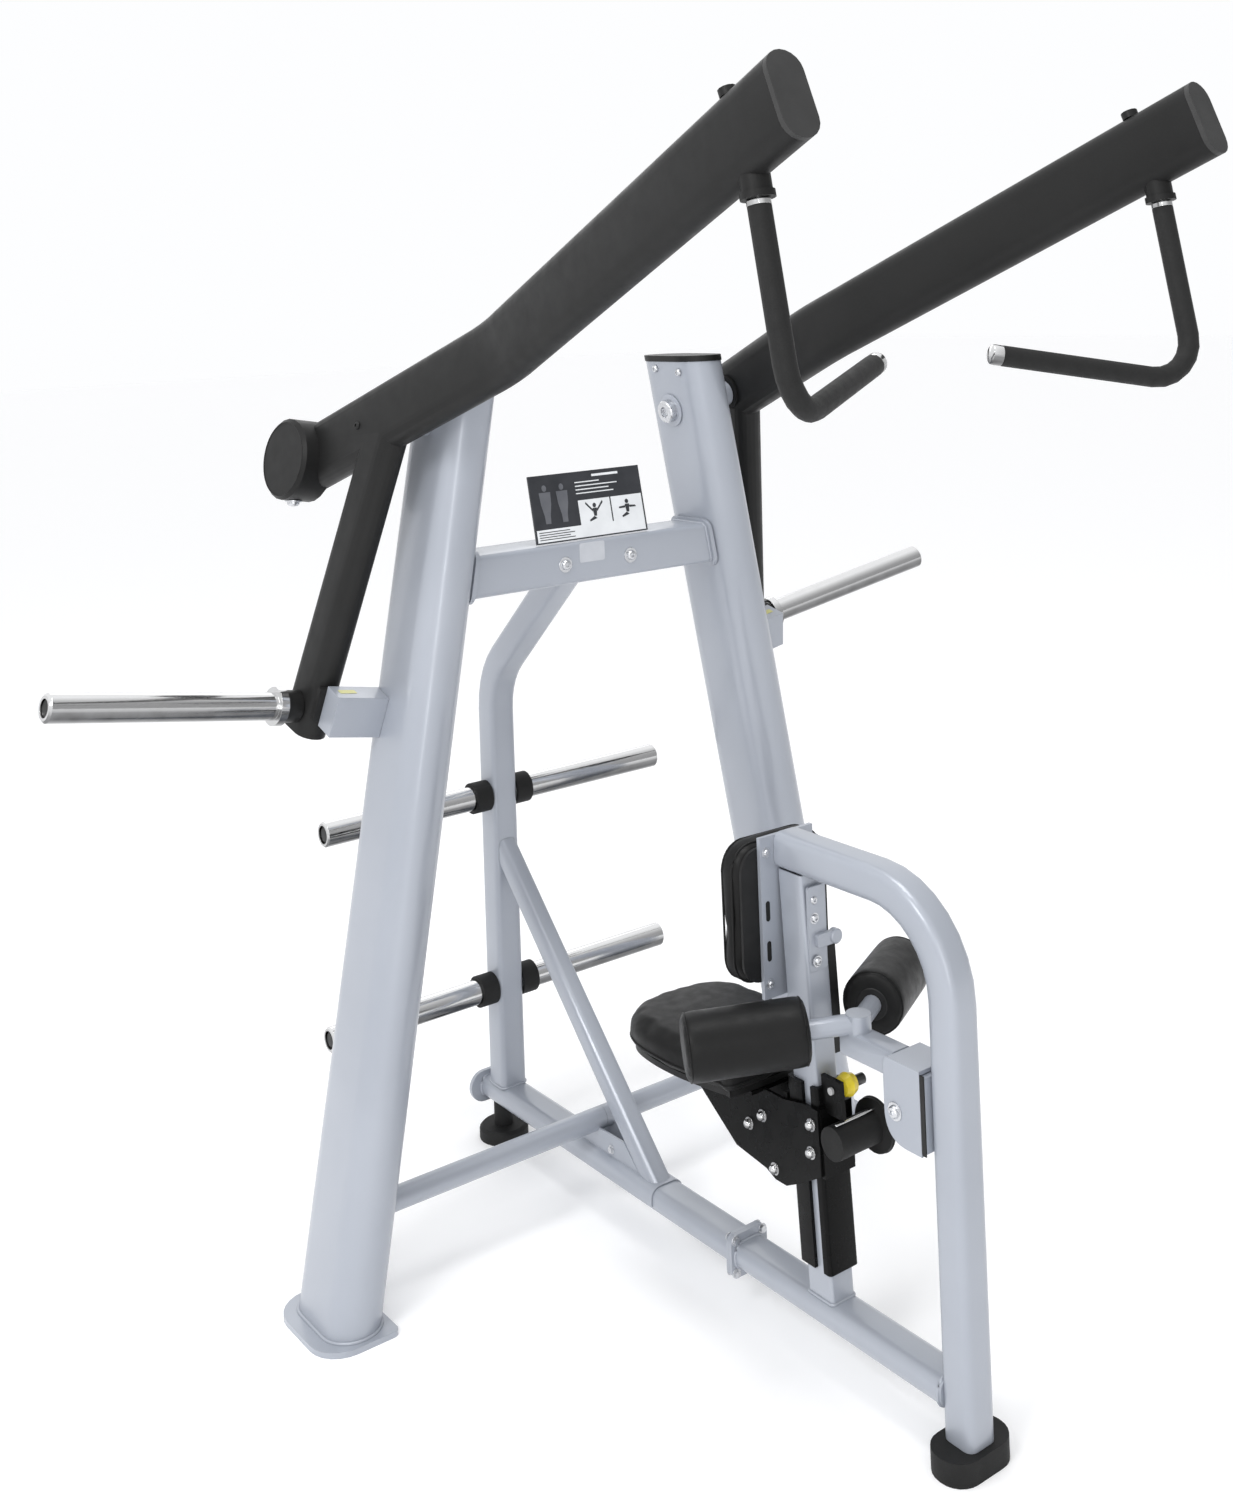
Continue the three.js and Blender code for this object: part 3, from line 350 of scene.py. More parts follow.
class Builder:
    """Collects primitives into one mesh object."""

    def __init__(self):
        self.verts, self.faces = [], []

    def grid(self, rings, closed_path=False):
        """Joins the rings in order. The two end rings are capped, or joined to each other."""
        start, count, total = len(self.verts), len(rings[0]), len(rings)
        for ring in rings:
            self.verts.extend(Vector(p) for p in ring)
        for i in range(total if closed_path else total - 1):
            here, there = start + i * count, start + (i + 1) % total * count
            for k in range(count):
                m = (k + 1) % count
                self.faces.append((here + k, here + m, there + m, there + k))
        if not closed_path:
            last = start + (total - 1) * count
            self.faces.append(tuple(start + k for k in reversed(range(count))))
            self.faces.append(tuple(last + k for k in range(count)))

    def lathe(self, profile, centre, axis, segments=24, hexes=()):
        """Profile of (radius, height) along the axis; the indices in hexes have a hexagonal outline."""
        turn, rings = frame_along(axis), []
        for index, (radius, height) in enumerate(profile):
            ring = []
            for k in range(segments):
                a = 2 * math.pi * k / segments
                r = radius
                if index in hexes:
                    r = radius * math.cos(math.pi / 6) / math.cos(a % (math.pi / 3) - math.pi / 6)
                ring.append(Vector(centre) + turn @ Vector((r * math.cos(a), r * math.sin(a), height)))
            rings.append(ring)
        self.grid(rings)

    def prism(self, outline, centre, turn, low, high):
        """A flat outline, in the turn's X and Y, between two heights along its Z."""
        rings = [[Vector(centre) + turn @ Vector((x, y, h)) for x, y in outline] for h in (low, high)]
        self.grid(rings)

    def bead(self, path, radius, segments=8):
        """A round bead along a closed path of points."""
        points = [Vector(p) for p in path]
        count, rings = len(points), []
        for i, p in enumerate(points):
            ahead = points[(i + 1) % count] - points[i - 1]
            rings.append(circle_points(p, ahead, radius, segments))
        self.grid(rings, closed_path=True)

    def button_bolt(self, centre, axis, radius, washer=0.0):
        """A domed screw head with a hexagonal socket, on a washer if one is given."""
        base = 0.0
        if washer:
            base = radius * 0.22
            hole = washer * 0.3
            ring = [(hole, 0), (washer, 0), (washer, base * 0.8), (washer * 0.96, base), (hole, base)]
            self.lathe(ring, centre, axis, 28)
        r, h = radius, radius * 0.62
        head = [(r, base), (r, base + h * 0.25), (r * 0.93, base + h * 0.6)]
        head += [(r * 0.72, base + h * 0.93), (r * 0.5, base + h), (r * 0.46, base + h)]
        head += [(r * 0.44, base + h * 0.45), (r * 0.1, base + h * 0.4)]
        self.lathe(head, centre, axis, 24, hexes=(5, 6))

    def dome_nut(self, centre, axis, radius):
        """An acorn head on a thin washer."""
        r = radius
        ring = [(r * 0.4, 0), (r * 1.22, 0), (r * 1.22, r * 0.16), (r * 0.4, r * 0.16)]
        self.lathe(ring, centre, axis, 28)
        head = [(r, r * 0.16), (r, r * 0.62)]
        for k in range(6):
            a = k * math.pi / 12
            head.append((r * 0.9 * math.cos(a), r * 0.66 + r * 0.62 * math.sin(a)))
        head.append((r * 0.05, r * 1.28))
        self.lathe(head, centre, axis, 24, hexes=(0, 1))

    def hex_bolt(self, centre, axis, radius):
        """A hexagonal head on a round washer."""
        r, w = radius, radius * 1.35
        ring = [(r * 0.4, 0), (w, 0), (w, r * 0.14), (w * 0.97, r * 0.18), (r * 0.4, r * 0.18)]
        self.lathe(ring, centre, axis, 30)
        head = [(r, r * 0.18), (r, r * 0.72), (r * 0.93, r * 0.80)]
        head += [(r * 0.8, r * 0.82), (r * 0.05, r * 0.82)]
        self.lathe(head, centre, axis, 24, hexes=(0, 1))

    def bare(self, name):
        """The mesh object, with its faces turned outwards and no material yet."""
        mesh = bpy.data.meshes.new(name)
        mesh.from_pydata([tuple(v) for v in self.verts], [], self.faces)
        mesh.validate()
        obj = bpy.data.objects.new(name, mesh)
        bpy.context.scene.collection.objects.link(obj)
        fix = bmesh.new()
        fix.from_mesh(mesh)
        bmesh.ops.recalc_face_normals(fix, faces=fix.faces)
        fix.to_mesh(mesh)
        fix.free()
        return obj

    def object(self, name, material, body, smooth=32):
        obj = self.bare(name)
        soften(obj, smooth)
        obj.data.materials.append(material)
        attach(obj, body)


def soften(obj, angle):
    """Smooth shading, with edges sharper than the angle left crisp."""
    obj.data.polygons.foreach_set("use_smooth", [True] * len(obj.data.polygons))
    if angle < 180:
        obj.data.set_sharp_from_angle(angle=math.radians(angle))


def stadium(width, height, quarter=8):
    """An outline with round ends, its flat sides along Y."""
    r, flat, points = width / 2, height / 2 - width / 2, []
    for side in (0, 1):
        centre = flat if side == 0 else -flat
        for i in range(2 * quarter + 1):
            a = math.pi * side + math.pi * i / (2 * quarter)
            points.append((r * math.cos(a), centre + r * math.sin(a)))
    return points


def round_rect(width, height, radius, steps=5):
    """A rectangle with rounded corners, about the origin."""
    flat_x, flat_y, points = width / 2 - radius, height / 2 - radius, []
    for corner, (sx, sy) in enumerate(((1, 1), (-1, 1), (-1, -1), (1, -1))):
        for i in range(steps + 1):
            a = math.pi / 2 * (corner + i / steps)
            points.append((sx * flat_x + radius * math.cos(a), sy * flat_y + radius * math.sin(a)))
    return points


def circle_points(centre, axis, radius, count):
    turn, points = frame_along(axis), []
    for k in range(count):
        a = 2 * math.pi * k / count
        points.append(Vector(centre) + turn @ Vector((radius * math.cos(a), radius * math.sin(a), 0)))
    return points


def middle(node):
    low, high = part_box(node)
    return (low + high) / 2


SIDES = (("right", 1), ("left", -1))


def sided(sign, v):
    """The right side's point or direction, or its mirror image for a sign of -1."""
    return Vector((sign * v[0], v[1], v[2]))


def coordinates(obj):
    co = np.zeros(len(obj.data.vertices) * 3)
    obj.data.vertices.foreach_get("co", co)
    return co.reshape(-1, 3)


# ---------------------------------------------------------------- carried CAD nodes
def dress(name, material):
    """Gives a CAD node its material and smooth shading on its curved faces."""
    obj = NODES[name]
    obj.data.materials.clear()
    obj.data.materials.append(material)
    custom = obj.data.attributes.get("custom_normal")
    if custom:
        obj.data.attributes.remove(custom)
    obj.data.polygons.foreach_set("use_smooth", [True] * len(obj.data.polygons))
    weld = obj.modifiers.new("weld", "WELD")
    weld.merge_threshold = 0.00002
    split = obj.modifiers.new("edges", "EDGE_SPLIT")
    split.split_angle = math.radians(33)
    split.use_edge_sharp = False


PAINT, CHROME, ZINC = frame_paint(), chrome(), zinc()
BLACK = black_coat("black_texture_coat", 0.010, 0.015, 0.026, 0.44, 1.28)
GLOSS_BLACK = black_coat("black_gloss_coat", 0.0025, 0.0045, 0.008, 0.28, 1.20)
RUBBER = moulded("moulded_rubber", 0.008, 0.014, 0.66, 700, 0.0003)
PLASTIC = moulded("black_plastic", 0.007, 0.012, 0.42, 900, 0.0002)
END_CAP = moulded("end_cap_plastic", 0.034, 0.044, 0.5, 700, 0.0002)
FOAM, VINYL = foam_grip(), vinyl()
DARK_PRINT = printed("placard_dark", (0.020, 0.022, 0.027), (0.030, 0.032, 0.038))
LIGHT_PRINT = printed("placard_light", (0.72, 0.74, 0.76), (0.80, 0.82, 0.84))
GREY_PRINT = printed("placard_grey", (0.10, 0.105, 0.12), (0.14, 0.145, 0.16))
SHADOW = moulded("dark_opening", 0.010, 0.016, 0.8, 500, 0.0003)

BY_SLOT = {
    "frame_paint": PAINT,
    "arm_paint": BLACK,
    "chrome": CHROME,
    "rubber": RUBBER,
    "black_plastic": PLASTIC,
    "placard": DARK_PRINT,
    "upholstery": VINYL,
}


def dress_all():
    knob_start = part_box("seat_knob")[0].x
    knob = knob_plastic(knob_start + 0.0185, knob_start + 0.0515)
    for part in frame["record"]["subparts"]:
        node = part["node"]
        material = knob if node == "seat_knob" else BY_SLOT[part["material_slot"]]
        if node.startswith("handle_grip"):
            material = FOAM
        if node.startswith("arm_end_cap"):
            material = END_CAP
        if node.startswith("seat_") and material is BLACK:
            material = GLOSS_BLACK
        dress(node, material)


# ---------------------------------------------------------------- the frame's small parts
LEAN = math.radians(10.4)                              # the uprights lean inwards
OUTWARD = Vector((math.cos(LEAN), 0, math.sin(LEAN)))  # square to the right upright
ALONG = Vector((-math.sin(LEAN), 0, math.cos(LEAN)))   # and up along it
UPRIGHT_WIDTH, UPRIGHT_DEPTH = 0.105, 0.190
UPRIGHT_INNER = -UPRIGHT_WIDTH / 2
PLATE_THICK = 0.010
FOOT_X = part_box("upright_right")[1].x - 0.078          # its base plate reaches this much further out
PIVOT = Vector(JOINTS["arm_right_pivot"]["pos_m"])
PIVOT_HEIGHT = (PIVOT - Vector((FOOT_X, Y0, 0))).dot(ALONG)
BASE_TOP = 0.122                                       # top of the base beam
BASE_Z = 0.100                                         # and its middle
BEAM_SECTION = (0.0685, 0.0445, 0.018, 4)              # its outline, with room for a weld
SADDLE_LIP = 0.009                                     # the cross beam's saddles reach this far past it
FOOT_WELD, SADDLE_WELD, BEAM_WELD, TOP_WELD = 0.0032, 0.0030, 0.0028, 0.0026


def column_front(z):
    """The y of the seat column's front face at a height: the column leans back."""
    return Y0 - 0.6975 + 0.06 * z


def on_post(out, y, up):
    """A point beside the right upright: outwards, back and up along it from the middle of its foot."""
    return Vector((FOOT_X, Y0, 0)) + OUTWARD * out + Y * y + ALONG * up


def weld_beads():
    """Beads where the frame's tubes meet their plates and each other."""
    welds = Builder()
    foot_z = PLATE_THICK + 0.001
    foot_x = FOOT_X - math.tan(LEAN) * foot_z
    for sign in (1, -1):
        outline = stadium(UPRIGHT_WIDTH + 0.002, UPRIGHT_DEPTH + 0.002, 12)
        welds.bead([sided(sign, (foot_x + x, Y0 + y, foot_z)) for x, y in outline], FOOT_WELD)
    # the cross beam's saddles on the uprights
    beam_low, beam_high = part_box("cross_beam")
    low, high = beam_low.z + SADDLE_LIP, beam_high.z - SADDLE_LIP
    middle_z, tall = (low + high) / 2, high - low
    for sign in (1, -1):
        ring = []
        for y, z in round_rect(0.1105, tall + 0.0005, 0.010, 4):
            x = FOOT_X - math.tan(LEAN) * (middle_z + z) - UPRIGHT_WIDTH / 2 - 0.0105
            ring.append(sided(sign, (x, Y0 + y, middle_z + z)))
        welds.bead(ring, SADDLE_WELD)
    # round the base beam, at both sides of its flange and at its rear plate
    front_low, front_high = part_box("base_beam_front")
    rear_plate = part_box("base_beam_rear")[1].y - 0.0095
    for y in (front_high.y + 0.0085, front_high.y - 0.0082, rear_plate):
        welds.bead([(x, y, BASE_Z + z) for x, z in round_rect(*BEAM_SECTION)], BEAM_WELD)
    # where the rear post and the seat column stand on it
    post = (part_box("rear_post")[1].y - 0.030, (0.0605, 0.0605, 0.012, 4))
    column = (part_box("seat_column")[0].y + 0.030, (0.051, 0.061, 0.006, 4))
    for middle_y, section in (post, column):
        ring = [(x, y + middle_y, BASE_TOP + 0.0005) for x, y in round_rect(*section)]
        welds.bead(ring, TOP_WELD)
    # and where it meets the front post
    front = front_low.y + 0.0006
    welds.bead([(x, front, BASE_Z + z) for x, z in round_rect(*BEAM_SECTION)], BEAM_WELD)
    welds.object("weld_beads_frame", PAINT, "frame", 180)


def frame_fasteners():
    bolts = Builder()
    # two screws over each pivot, and the nut on its shaft
    for sign in (1, -1):
        inwards = sided(sign, -OUTWARD)
        for y, up in ((0.030, 0.088), (-0.046, 0.081)):
            place = sided(sign, on_post(UPRIGHT_INNER, y, PIVOT_HEIGHT + up))
            bolts.button_bolt(place, inwards, 0.0080)
        nut = [(0.010, 0.003), (0.0235, 0.003), (0.0235, 0.017), (0.0215, 0.020)]
        nut += [(0.0125, 0.0205), (0.0120, 0.012), (0.0005, 0.012)]
        place = sided(sign, on_post(UPRIGHT_INNER, 0, PIVOT_HEIGHT))
        bolts.lathe(nut, place, inwards, 36, hexes=(4, 5))
    beam_low, beam_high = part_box("cross_beam")
    beam_front = beam_low.y + SADDLE_LIP
    beam_z = (beam_low.z + beam_high.z) / 2
    for x in (-0.078, 0.078):
        bolts.button_bolt((x, beam_front, beam_z), -Y, 0.0100, 0.015)
        bolts.hex_bolt((x, 2 * Y0 - beam_front, beam_z), Y, 0.0085)
    # the base beam's flange, bolted from both sides
    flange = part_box("base_beam_front")[1].y
    for x in (-0.031, 0.031):
        for z in (BASE_Z - 0.028, BASE_Z + 0.028):
            bolts.hex_bolt((x, flange - 0.007, z), -Y, 0.0065)
            bolts.hex_bolt((x, flange + 0.0075, z), Y, 0.0065)
    # the bracket of the thigh rollers' arm
    for sign in (1, -1):
        bolts.button_bolt((sign * 0.038, Y0 - 0.866, 0.505), X * sign, 0.0100, 0.0145)
    # the pad plate, and the seat column under it
    plate_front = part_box("pad_plate")[0].y
    right = 0.047
    places = ((-right, 0.84), (right, 0.84), (right, 0.735), (right, 0.675), (right, 0.632), (-right, 0.620))
    for x, z in places:
        bolts.button_bolt((x, plate_front, z), -Y, 0.0060, 0.0085)
    for z in (0.769, 0.739, 0.669):
        bolts.button_bolt((-0.006, column_front(z) - 0.0045, z), -Y, 0.0070, 0.0095)
    bolts.object("fasteners_frame", ZINC, "frame")


def frame_bosses():
    raised = Builder()
    boss = [(0.012, 0), (0.034, 0), (0.034, 0.0028), (0.0325, 0.0036), (0.012, 0.0036)]
    for sign in (1, -1):
        place = sided(sign, on_post(UPRIGHT_INNER, 0, PIVOT_HEIGHT))
        raised.lathe(boss, place, sided(sign, -OUTWARD), 40)
    # a plate on the column's front, with an ear that ends in a boss
    y = column_front(0.720)
    raised.prism(round_rect(0.040, 0.140, 0.004), (0, y, 0.722), FACING_FRONT, 0.0006, 0.0048)
    raised.prism(round_rect(0.046, 0.022, 0.005), (0.016, y, 0.702), FACING_FRONT, 0.0050, 0.0120)
    ear = [(0.004, 0.0), (0.0125, 0.0), (0.0125, 0.010), (0.0105, 0.012), (0.004, 0.012)]
    raised.lathe(ear, (0.034, y - 0.004, 0.702), -Y, 28)
    raised.object("frame_bosses", PAINT, "frame")


def brace_details():
    """The brace's saddle and cheeks on the base beam, with bolts, and a filler at the beam's front end."""
    parts = Builder()
    end = (0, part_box("base_beam_front")[0].y + 0.0004, BASE_Z)
    parts.prism(round_rect(0.0675, 0.0435, 0.0178, 6), end, FACING_FRONT, 0.0, 0.0060)
    cover = [(x, z) for x, z in round_rect(0.0730, 0.0490, 0.0200, 8) if z > -0.010]
    cover.sort(key=lambda p: -math.atan2(p[1] + 0.012, p[0]))
    under = [(x * 0.940, z * 0.915 if z > 0 else z) for x, z in cover]
    parts.prism(cover + under[::-1], (0, Y0, BASE_Z), FACING_FRONT, -0.070, 0.208)
    foot = BASE_TOP + 0.001
    cheek = [(-0.150, foot), (0.062, foot), (0.020, 0.162), (-0.100, 0.166)]
    for sign in (1, -1):
        parts.prism(cheek, (sign * 0.0180, Y0, 0), FACING_SIDE, -0.0018, 0.0018)
    parts.object("brace_saddle", PAINT, "frame", 30)
    bolt = Builder()
    for sign in (1, -1):
        bolt.hex_bolt((sign * 0.0200, Y0 - 0.060, 0.137), X * sign, 0.0062)
    bolt.object("brace_bolts", ZINC, "frame")


def placard_prints():
    """Light panels and generic pictograms on the dark placard, and a blank label on the beam."""
    low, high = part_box("placard")
    width = high.x - low.x
    tilt = math.radians(12)
    up = Vector((0, math.sin(tilt), math.cos(tilt)))
    out = Vector((0, -math.cos(tilt), math.sin(tilt)))
    tall = (high.z - low.z) / math.cos(tilt)
    corner = Vector((low.x, low.y, low.z + 0.004 * math.sin(tilt)))
    turn = Matrix((X, up, out)).transposed()

    def patch(builder, points, layer):
        """A printed shape in fractions of the placard's face; a higher layer lies on a lower one."""
        outline = [(u * width, v * tall) for u, v in points]
        builder.prism(outline, corner, turn, 0.0001 + 0.0003 * layer, 0.0003 + 0.0003 * layer)

    def rect(u0, v0, u1, v1):
        return [(u0, v0), (u1, v0), (u1, v1), (u0, v1)]

    light = Builder()
    patch(light, rect(0.012, 0.02, 0.985, 0.20), 0)
    patch(light, rect(0.405, 0.20, 0.690, 0.565), 0)
    patch(light, rect(0.702, 0.20, 0.985, 0.565), 0)
    for k, (u0, u1) in enumerate(((0.40, 0.74), (0.40, 0.70), (0.40, 0.78), (0.40, 0.62))):
        v = 0.66 + 0.055 * k
        patch(light, rect(u0, v, u1, v + 0.016), 0)
    patch(light, rect(0.56, 0.90, 0.80, 0.935), 0)
    light.object("placard_light_panels", LIGHT_PRINT, "frame")

    def blob(u, v, ru, rv):
        angles = [2 * math.pi * k / 14 for k in range(14)]
        return [(u + ru * math.cos(a), v + rv * math.sin(a)) for a in angles]

    figures = Builder()
    for u in (0.125, 0.275):
        patch(figures, blob(u, 0.80, 0.020, 0.048), 0)
        torso = [(u - 0.050, 0.74), (u - 0.044, 0.56), (u - 0.026, 0.40), (u - 0.022, 0.28)]
        torso += [(u + 0.022, 0.28), (u + 0.026, 0.40), (u + 0.044, 0.56), (u + 0.050, 0.74)]
        patch(figures, torso, 0)
    figures.object("placard_figures", GREY_PRINT, "frame")

    steps = Builder()
    for u in (0.545, 0.842):
        patch(steps, blob(u, 0.470, 0.016, 0.034), 1)
        patch(steps, [(u - 0.020, 0.43), (u - 0.012, 0.31), (u + 0.012, 0.31), (u + 0.020, 0.43)], 1)
        patch(steps, [(u - 0.012, 0.31), (u - 0.058, 0.26), (u - 0.054, 0.235), (u + 0.012, 0.275)], 1)
        hand = 0.53 if u < 0.7 else 0.40
        arm = ((0.018, 0.41), (0.074, hand), (0.080, hand - 0.025), (0.020, 0.375))
        patch(steps, [(u + reach, v) for reach, v in arm], 1)
        patch(steps, [(u - reach, v) for reach, v in arm], 1)
    for k in range(4):
        patch(steps, rect(0.03, 0.05 + 0.035 * k, 0.34 - 0.04 * (k % 2), 0.062 + 0.035 * k), 1)
    steps.object("placard_pictograms", DARK_PRINT, "frame")

    label = Builder()
    beam_low, beam_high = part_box("cross_beam")
    face_y = beam_low.y + SADDLE_LIP
    centre = Vector((-0.014, face_y, (beam_low.z + beam_high.z) / 2 + 0.018))
    label.prism(round_rect(0.060, 0.038, 0.004), centre, FACING_FRONT, 0.0001, 0.0005)
    blank = printed("blank_label", (0.46, 0.48, 0.52), (0.52, 0.54, 0.58))
    label.object("blank_label", blank, "frame")


def dark_parts():
    """Painted shade: dark patches for the slots in the pad plate and a thin dark sheet in each side of the
    bracket's gap; and the black strip on the column.
    """
    # painted shade: dark patches where the pad plate's slots open
    slots = Builder()
    plate_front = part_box("pad_plate")[0].y
    for z in (0.742, 0.675):
        slots.prism(stadium(0.009, 0.034, 5), (-0.047, plate_front, z), FACING_FRONT, -0.0002, 0.0004)
    slots.object("plate_slots", SHADOW, "frame")
    strip = Builder()
    post_rear = Y0 - 0.931
    # painted shade: a thin black sheet in each side of the bracket's gap, where its inside lies in shadow
    gap_shade = [(0.0005, 0.458), (0.0090, 0.458), (0.0090, 0.580), (0.0005, 0.580)]
    for sign in (1, -1):
        strip.prism(gap_shade, (sign * 0.0375, post_rear, 0), FACING_SIDE, -0.0008, 0.0008)
    edge = [(column_front(z) + 0.004, z) for z in (0.508, 0.700)]
    back = [(column_front(z) + 0.052, z) for z in (0.700, 0.508)]
    strip.prism(edge + back, (0.0256, 0, 0), FACING_SIDE, 0.0, 0.018)
    strip.object("column_strip_and_gap_shade", PLASTIC, "frame")


# ---------------------------------------------------------------- arms, horns and handles
SPLAY = math.radians(5)                                # the arms run outwards towards the back
ARM_OUT = OUTWARD * math.cos(SPLAY) - Y * math.sin(SPLAY)
ARM_BACK = Y * math.cos(SPLAY) + OUTWARD * math.sin(SPLAY)
ARM_TILT = math.radians(21.5)                          # the arm's rear part drops towards the back
ARM_REAR = ARM_BACK * math.cos(ARM_TILT) - ALONG * math.sin(ARM_TILT)


def arm_details():
    drum = middle("counterweight_right")
    down = -(ALONG * math.cos(0.1) + ARM_BACK * 0.1).normalized()
    sleeve_profile = [(0.0274, 0.001), (0.0292, 0.001), (0.0292, 0.030), (0.0274, 0.030)]
    for side, sign in SIDES:
        body = "arm_" + side
        out = sided(sign, ARM_OUT)
        screw = Builder()
        screw.button_bolt(sided(sign, PIVOT + ARM_REAR * 0.060 + ARM_OUT * 0.030), out, 0.0075)
        screw.object("arm_screw_" + side, PLASTIC, body)
        metal = Builder()
        under = drum + down * 0.0774 + ARM_OUT * 0.004
        metal.button_bolt(sided(sign, under), sided(sign, down), 0.0125, 0.0165)
        metal.object("drum_bolt_" + side, ZINC, body)
        edge = Builder()
        edge.bead(circle_points(sided(sign, drum + ARM_OUT * 0.0352), out, 0.0705, 48), 0.0012, 6)
        edge.object("drum_edge_" + side, BLACK, body, 180)
        co = coordinates(NODES["loading_horn_" + side])
        reach = co @ np.array(out)
        root = co[reach < reach.min() + 0.001]
        sleeve = Builder()
        sleeve.lathe(sleeve_profile, Vector(root.mean(axis=0)), out, 36)
        sleeve.object("horn_sleeve_" + side, PLASTIC, body)


def stop_labels():
    """A small blank label on the top of each stop box."""
    yellow = printed("blank_yellow_label", (0.50, 0.48, 0.14), (0.58, 0.56, 0.20))
    for side, sign in SIDES:
        mesh = NODES["stop_box_" + side].data
        flat = [p for p in mesh.polygons if p.normal.z > 0.9 and p.area > 0.0005]
        top = max(flat, key=lambda p: p.center.x * sign)
        points = [mesh.vertices[i].co for p in flat for i in p.vertices]
        outer = max(v.x * sign for v in points)
        near = [v for v in points if v.x * sign > outer - 0.070]
        centre = sum(near, Vector()) / len(near)
        centre.x = sign * (outer - 0.030)
        centre -= top.normal * (centre - top.center).dot(top.normal)
        label = Builder()
        turn = frame_along(top.normal, X)
        label.prism(round_rect(0.034, 0.014, 0.002), centre, turn, 0.0002, 0.0006)
        label.object("stop_label_" + side, yellow, "frame")


def horn_plugs():
    """Black plugs in the recessed ends of the chrome horns."""
    names = [("loading_horn_" + side, "arm_" + side, sign) for side, sign in SIDES]
    for level in ("upper", "lower"):
        names += [(f"storage_horn_{level}_{side}", "frame", sign) for side, sign in SIDES]
    profile = [(0.0155, -0.0135), (0.0155, -0.0045), (0.0140, -0.0028)]
    profile += [(0.006, -0.0022), (0.0008, -0.0022)]
    for node, body, sign in names:
        co = coordinates(NODES[node])
        axis = sided(sign, ARM_OUT if node.startswith("loading") else X)
        reach = co @ np.array(axis)
        tip = co[reach > reach.max() - 0.0005]
        plug = Builder()
        plug.lathe(profile, Vector(tip.mean(axis=0)), axis, 32)
        plug.object(node + "_plug", PLASTIC, body)


GRIP_INWARD = Vector((-0.8765, 0.4496, 0.1736))        # along the right grip to its free end


def end_centre(node, direction):
    """The middle of a tube's end, the face that is furthest along a direction."""
    co = coordinates(NODES[node])
    reach = co @ np.array(direction)
    ring = np.unique(np.round(co[reach > reach.max() - 0.0012], 5), axis=0)
    return Vector((ring.min(axis=0) + ring.max(axis=0)) / 2)


def handle_details():
    """A chrome cap on each grip's free end, and a chrome collar where the grip meets its stem."""
    cap_profile = [(0.0124, 0.0), (0.0160, 0.0), (0.0167, 0.001), (0.0167, 0.013)]
    cap_profile += [(0.0158, 0.0175), (0.0128, 0.0196), (0.0005, 0.0203)]
    collar = [(0.0124, 0.0004), (0.0165, 0.0004), (0.0172, 0.001)]
    collar += [(0.0172, 0.0075), (0.0162, 0.0085), (0.0124, 0.0085)]
    for side, sign in SIDES:
        body, grip = "handle_" + side, "handle_grip_" + side
        inward = sided(sign, GRIP_INWARD).normalized()
        cap = Builder()
        cap.lathe(cap_profile, end_centre(grip, inward) + inward * 0.0004, inward, 32)
        cap.object("grip_end_cap_" + side, CHROME, body)
        stem = Vector(JOINTS[f"handle_{side}_swivel"]["axis"]).normalized()
        ring = Builder()
        ring.lathe(collar, end_centre(grip, stem), stem, 32)
        ring.object("grip_collar_" + side, CHROME, body)


# ---------------------------------------------------------------- upholstery
def remeshed(obj, voxel):
    """An even mesh for the cloth, in voxels of this size."""
    modifier = obj.modifiers.new("remesh", "REMESH")
    modifier.mode = "VOXEL"
    modifier.voxel_size = voxel
    bake(obj)


def bake(obj):
    """Applies the object's modifiers as they stand at this frame."""
    bpy.context.view_layer.update()
    graph = bpy.context.evaluated_depsgraph_get()
    mesh = bpy.data.meshes.new_from_object(obj.evaluated_get(graph))
    obj.modifiers.clear()
    obj.data = mesh


def set_coordinates(obj, co):
    obj.data.vertices.foreach_set("co", co.ravel())
    obj.data.update()


def inflate(obj, cap, keep):
    """Cloth under pressure, as foam fills its cover, with each point's travel capped and trimmed by keep."""
    rest = coordinates(obj)
    cloth = obj.modifiers.new("cloth", "CLOTH")
    settings = cloth.settings
    settings.use_pressure = True
    settings.uniform_pressure_force = 4
    settings.effector_weights.gravity = 0
    settings.quality = 4
    settings.tension_stiffness = 12
    settings.compression_stiffness = 12
    settings.bending_stiffness = 1.2
    cloth.point_cache.frame_start = 1
    cloth.point_cache.frame_end = 20
    scene = bpy.context.scene
    for number in range(1, 21):
        scene.frame_set(number)
    bake(obj)
    scene.frame_set(1)
    moved = coordinates(obj) - rest
    travel = np.linalg.norm(moved, axis=1)
    scale = np.minimum(1, cap / np.maximum(travel, 1e-9))
    set_coordinates(obj, keep(rest + moved * scale[:, None]))


def loft(name, rings):
    """A closed form through rings of points, capped with flat ends."""
    builder = Builder()
    builder.grid(rings)
    return builder.bare(name)


def finish_pad(obj, node, body):
    """Smooths a pad, covers it in vinyl and puts it in its CAD solid's place."""
    smooth = obj.modifiers.new("smooth", "SMOOTH")
    smooth.factor = 0.5
    smooth.iterations = 6
    subdivision = obj.modifiers.new("subdivision", "SUBSURF")
    subdivision.levels = subdivision.render_levels = 1
    bake(obj)
    soften(obj, 180)
    obj.data.materials.clear()
    obj.data.materials.append(VINYL)
    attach(obj, body)
    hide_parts(node)


def on_surface(pad, points, lift):
    """The points moved to the pad's own surface, and lifted from it."""
    corners = [v.co for v in pad.data.vertices]
    tree = BVHTree.FromPolygons(corners, [tuple(p.vertices) for p in pad.data.polygons])
    moved = []
    for point in points:
        place, normal = tree.find_nearest(point)[:2]
        moved.append(place + normal * lift)
    return moved


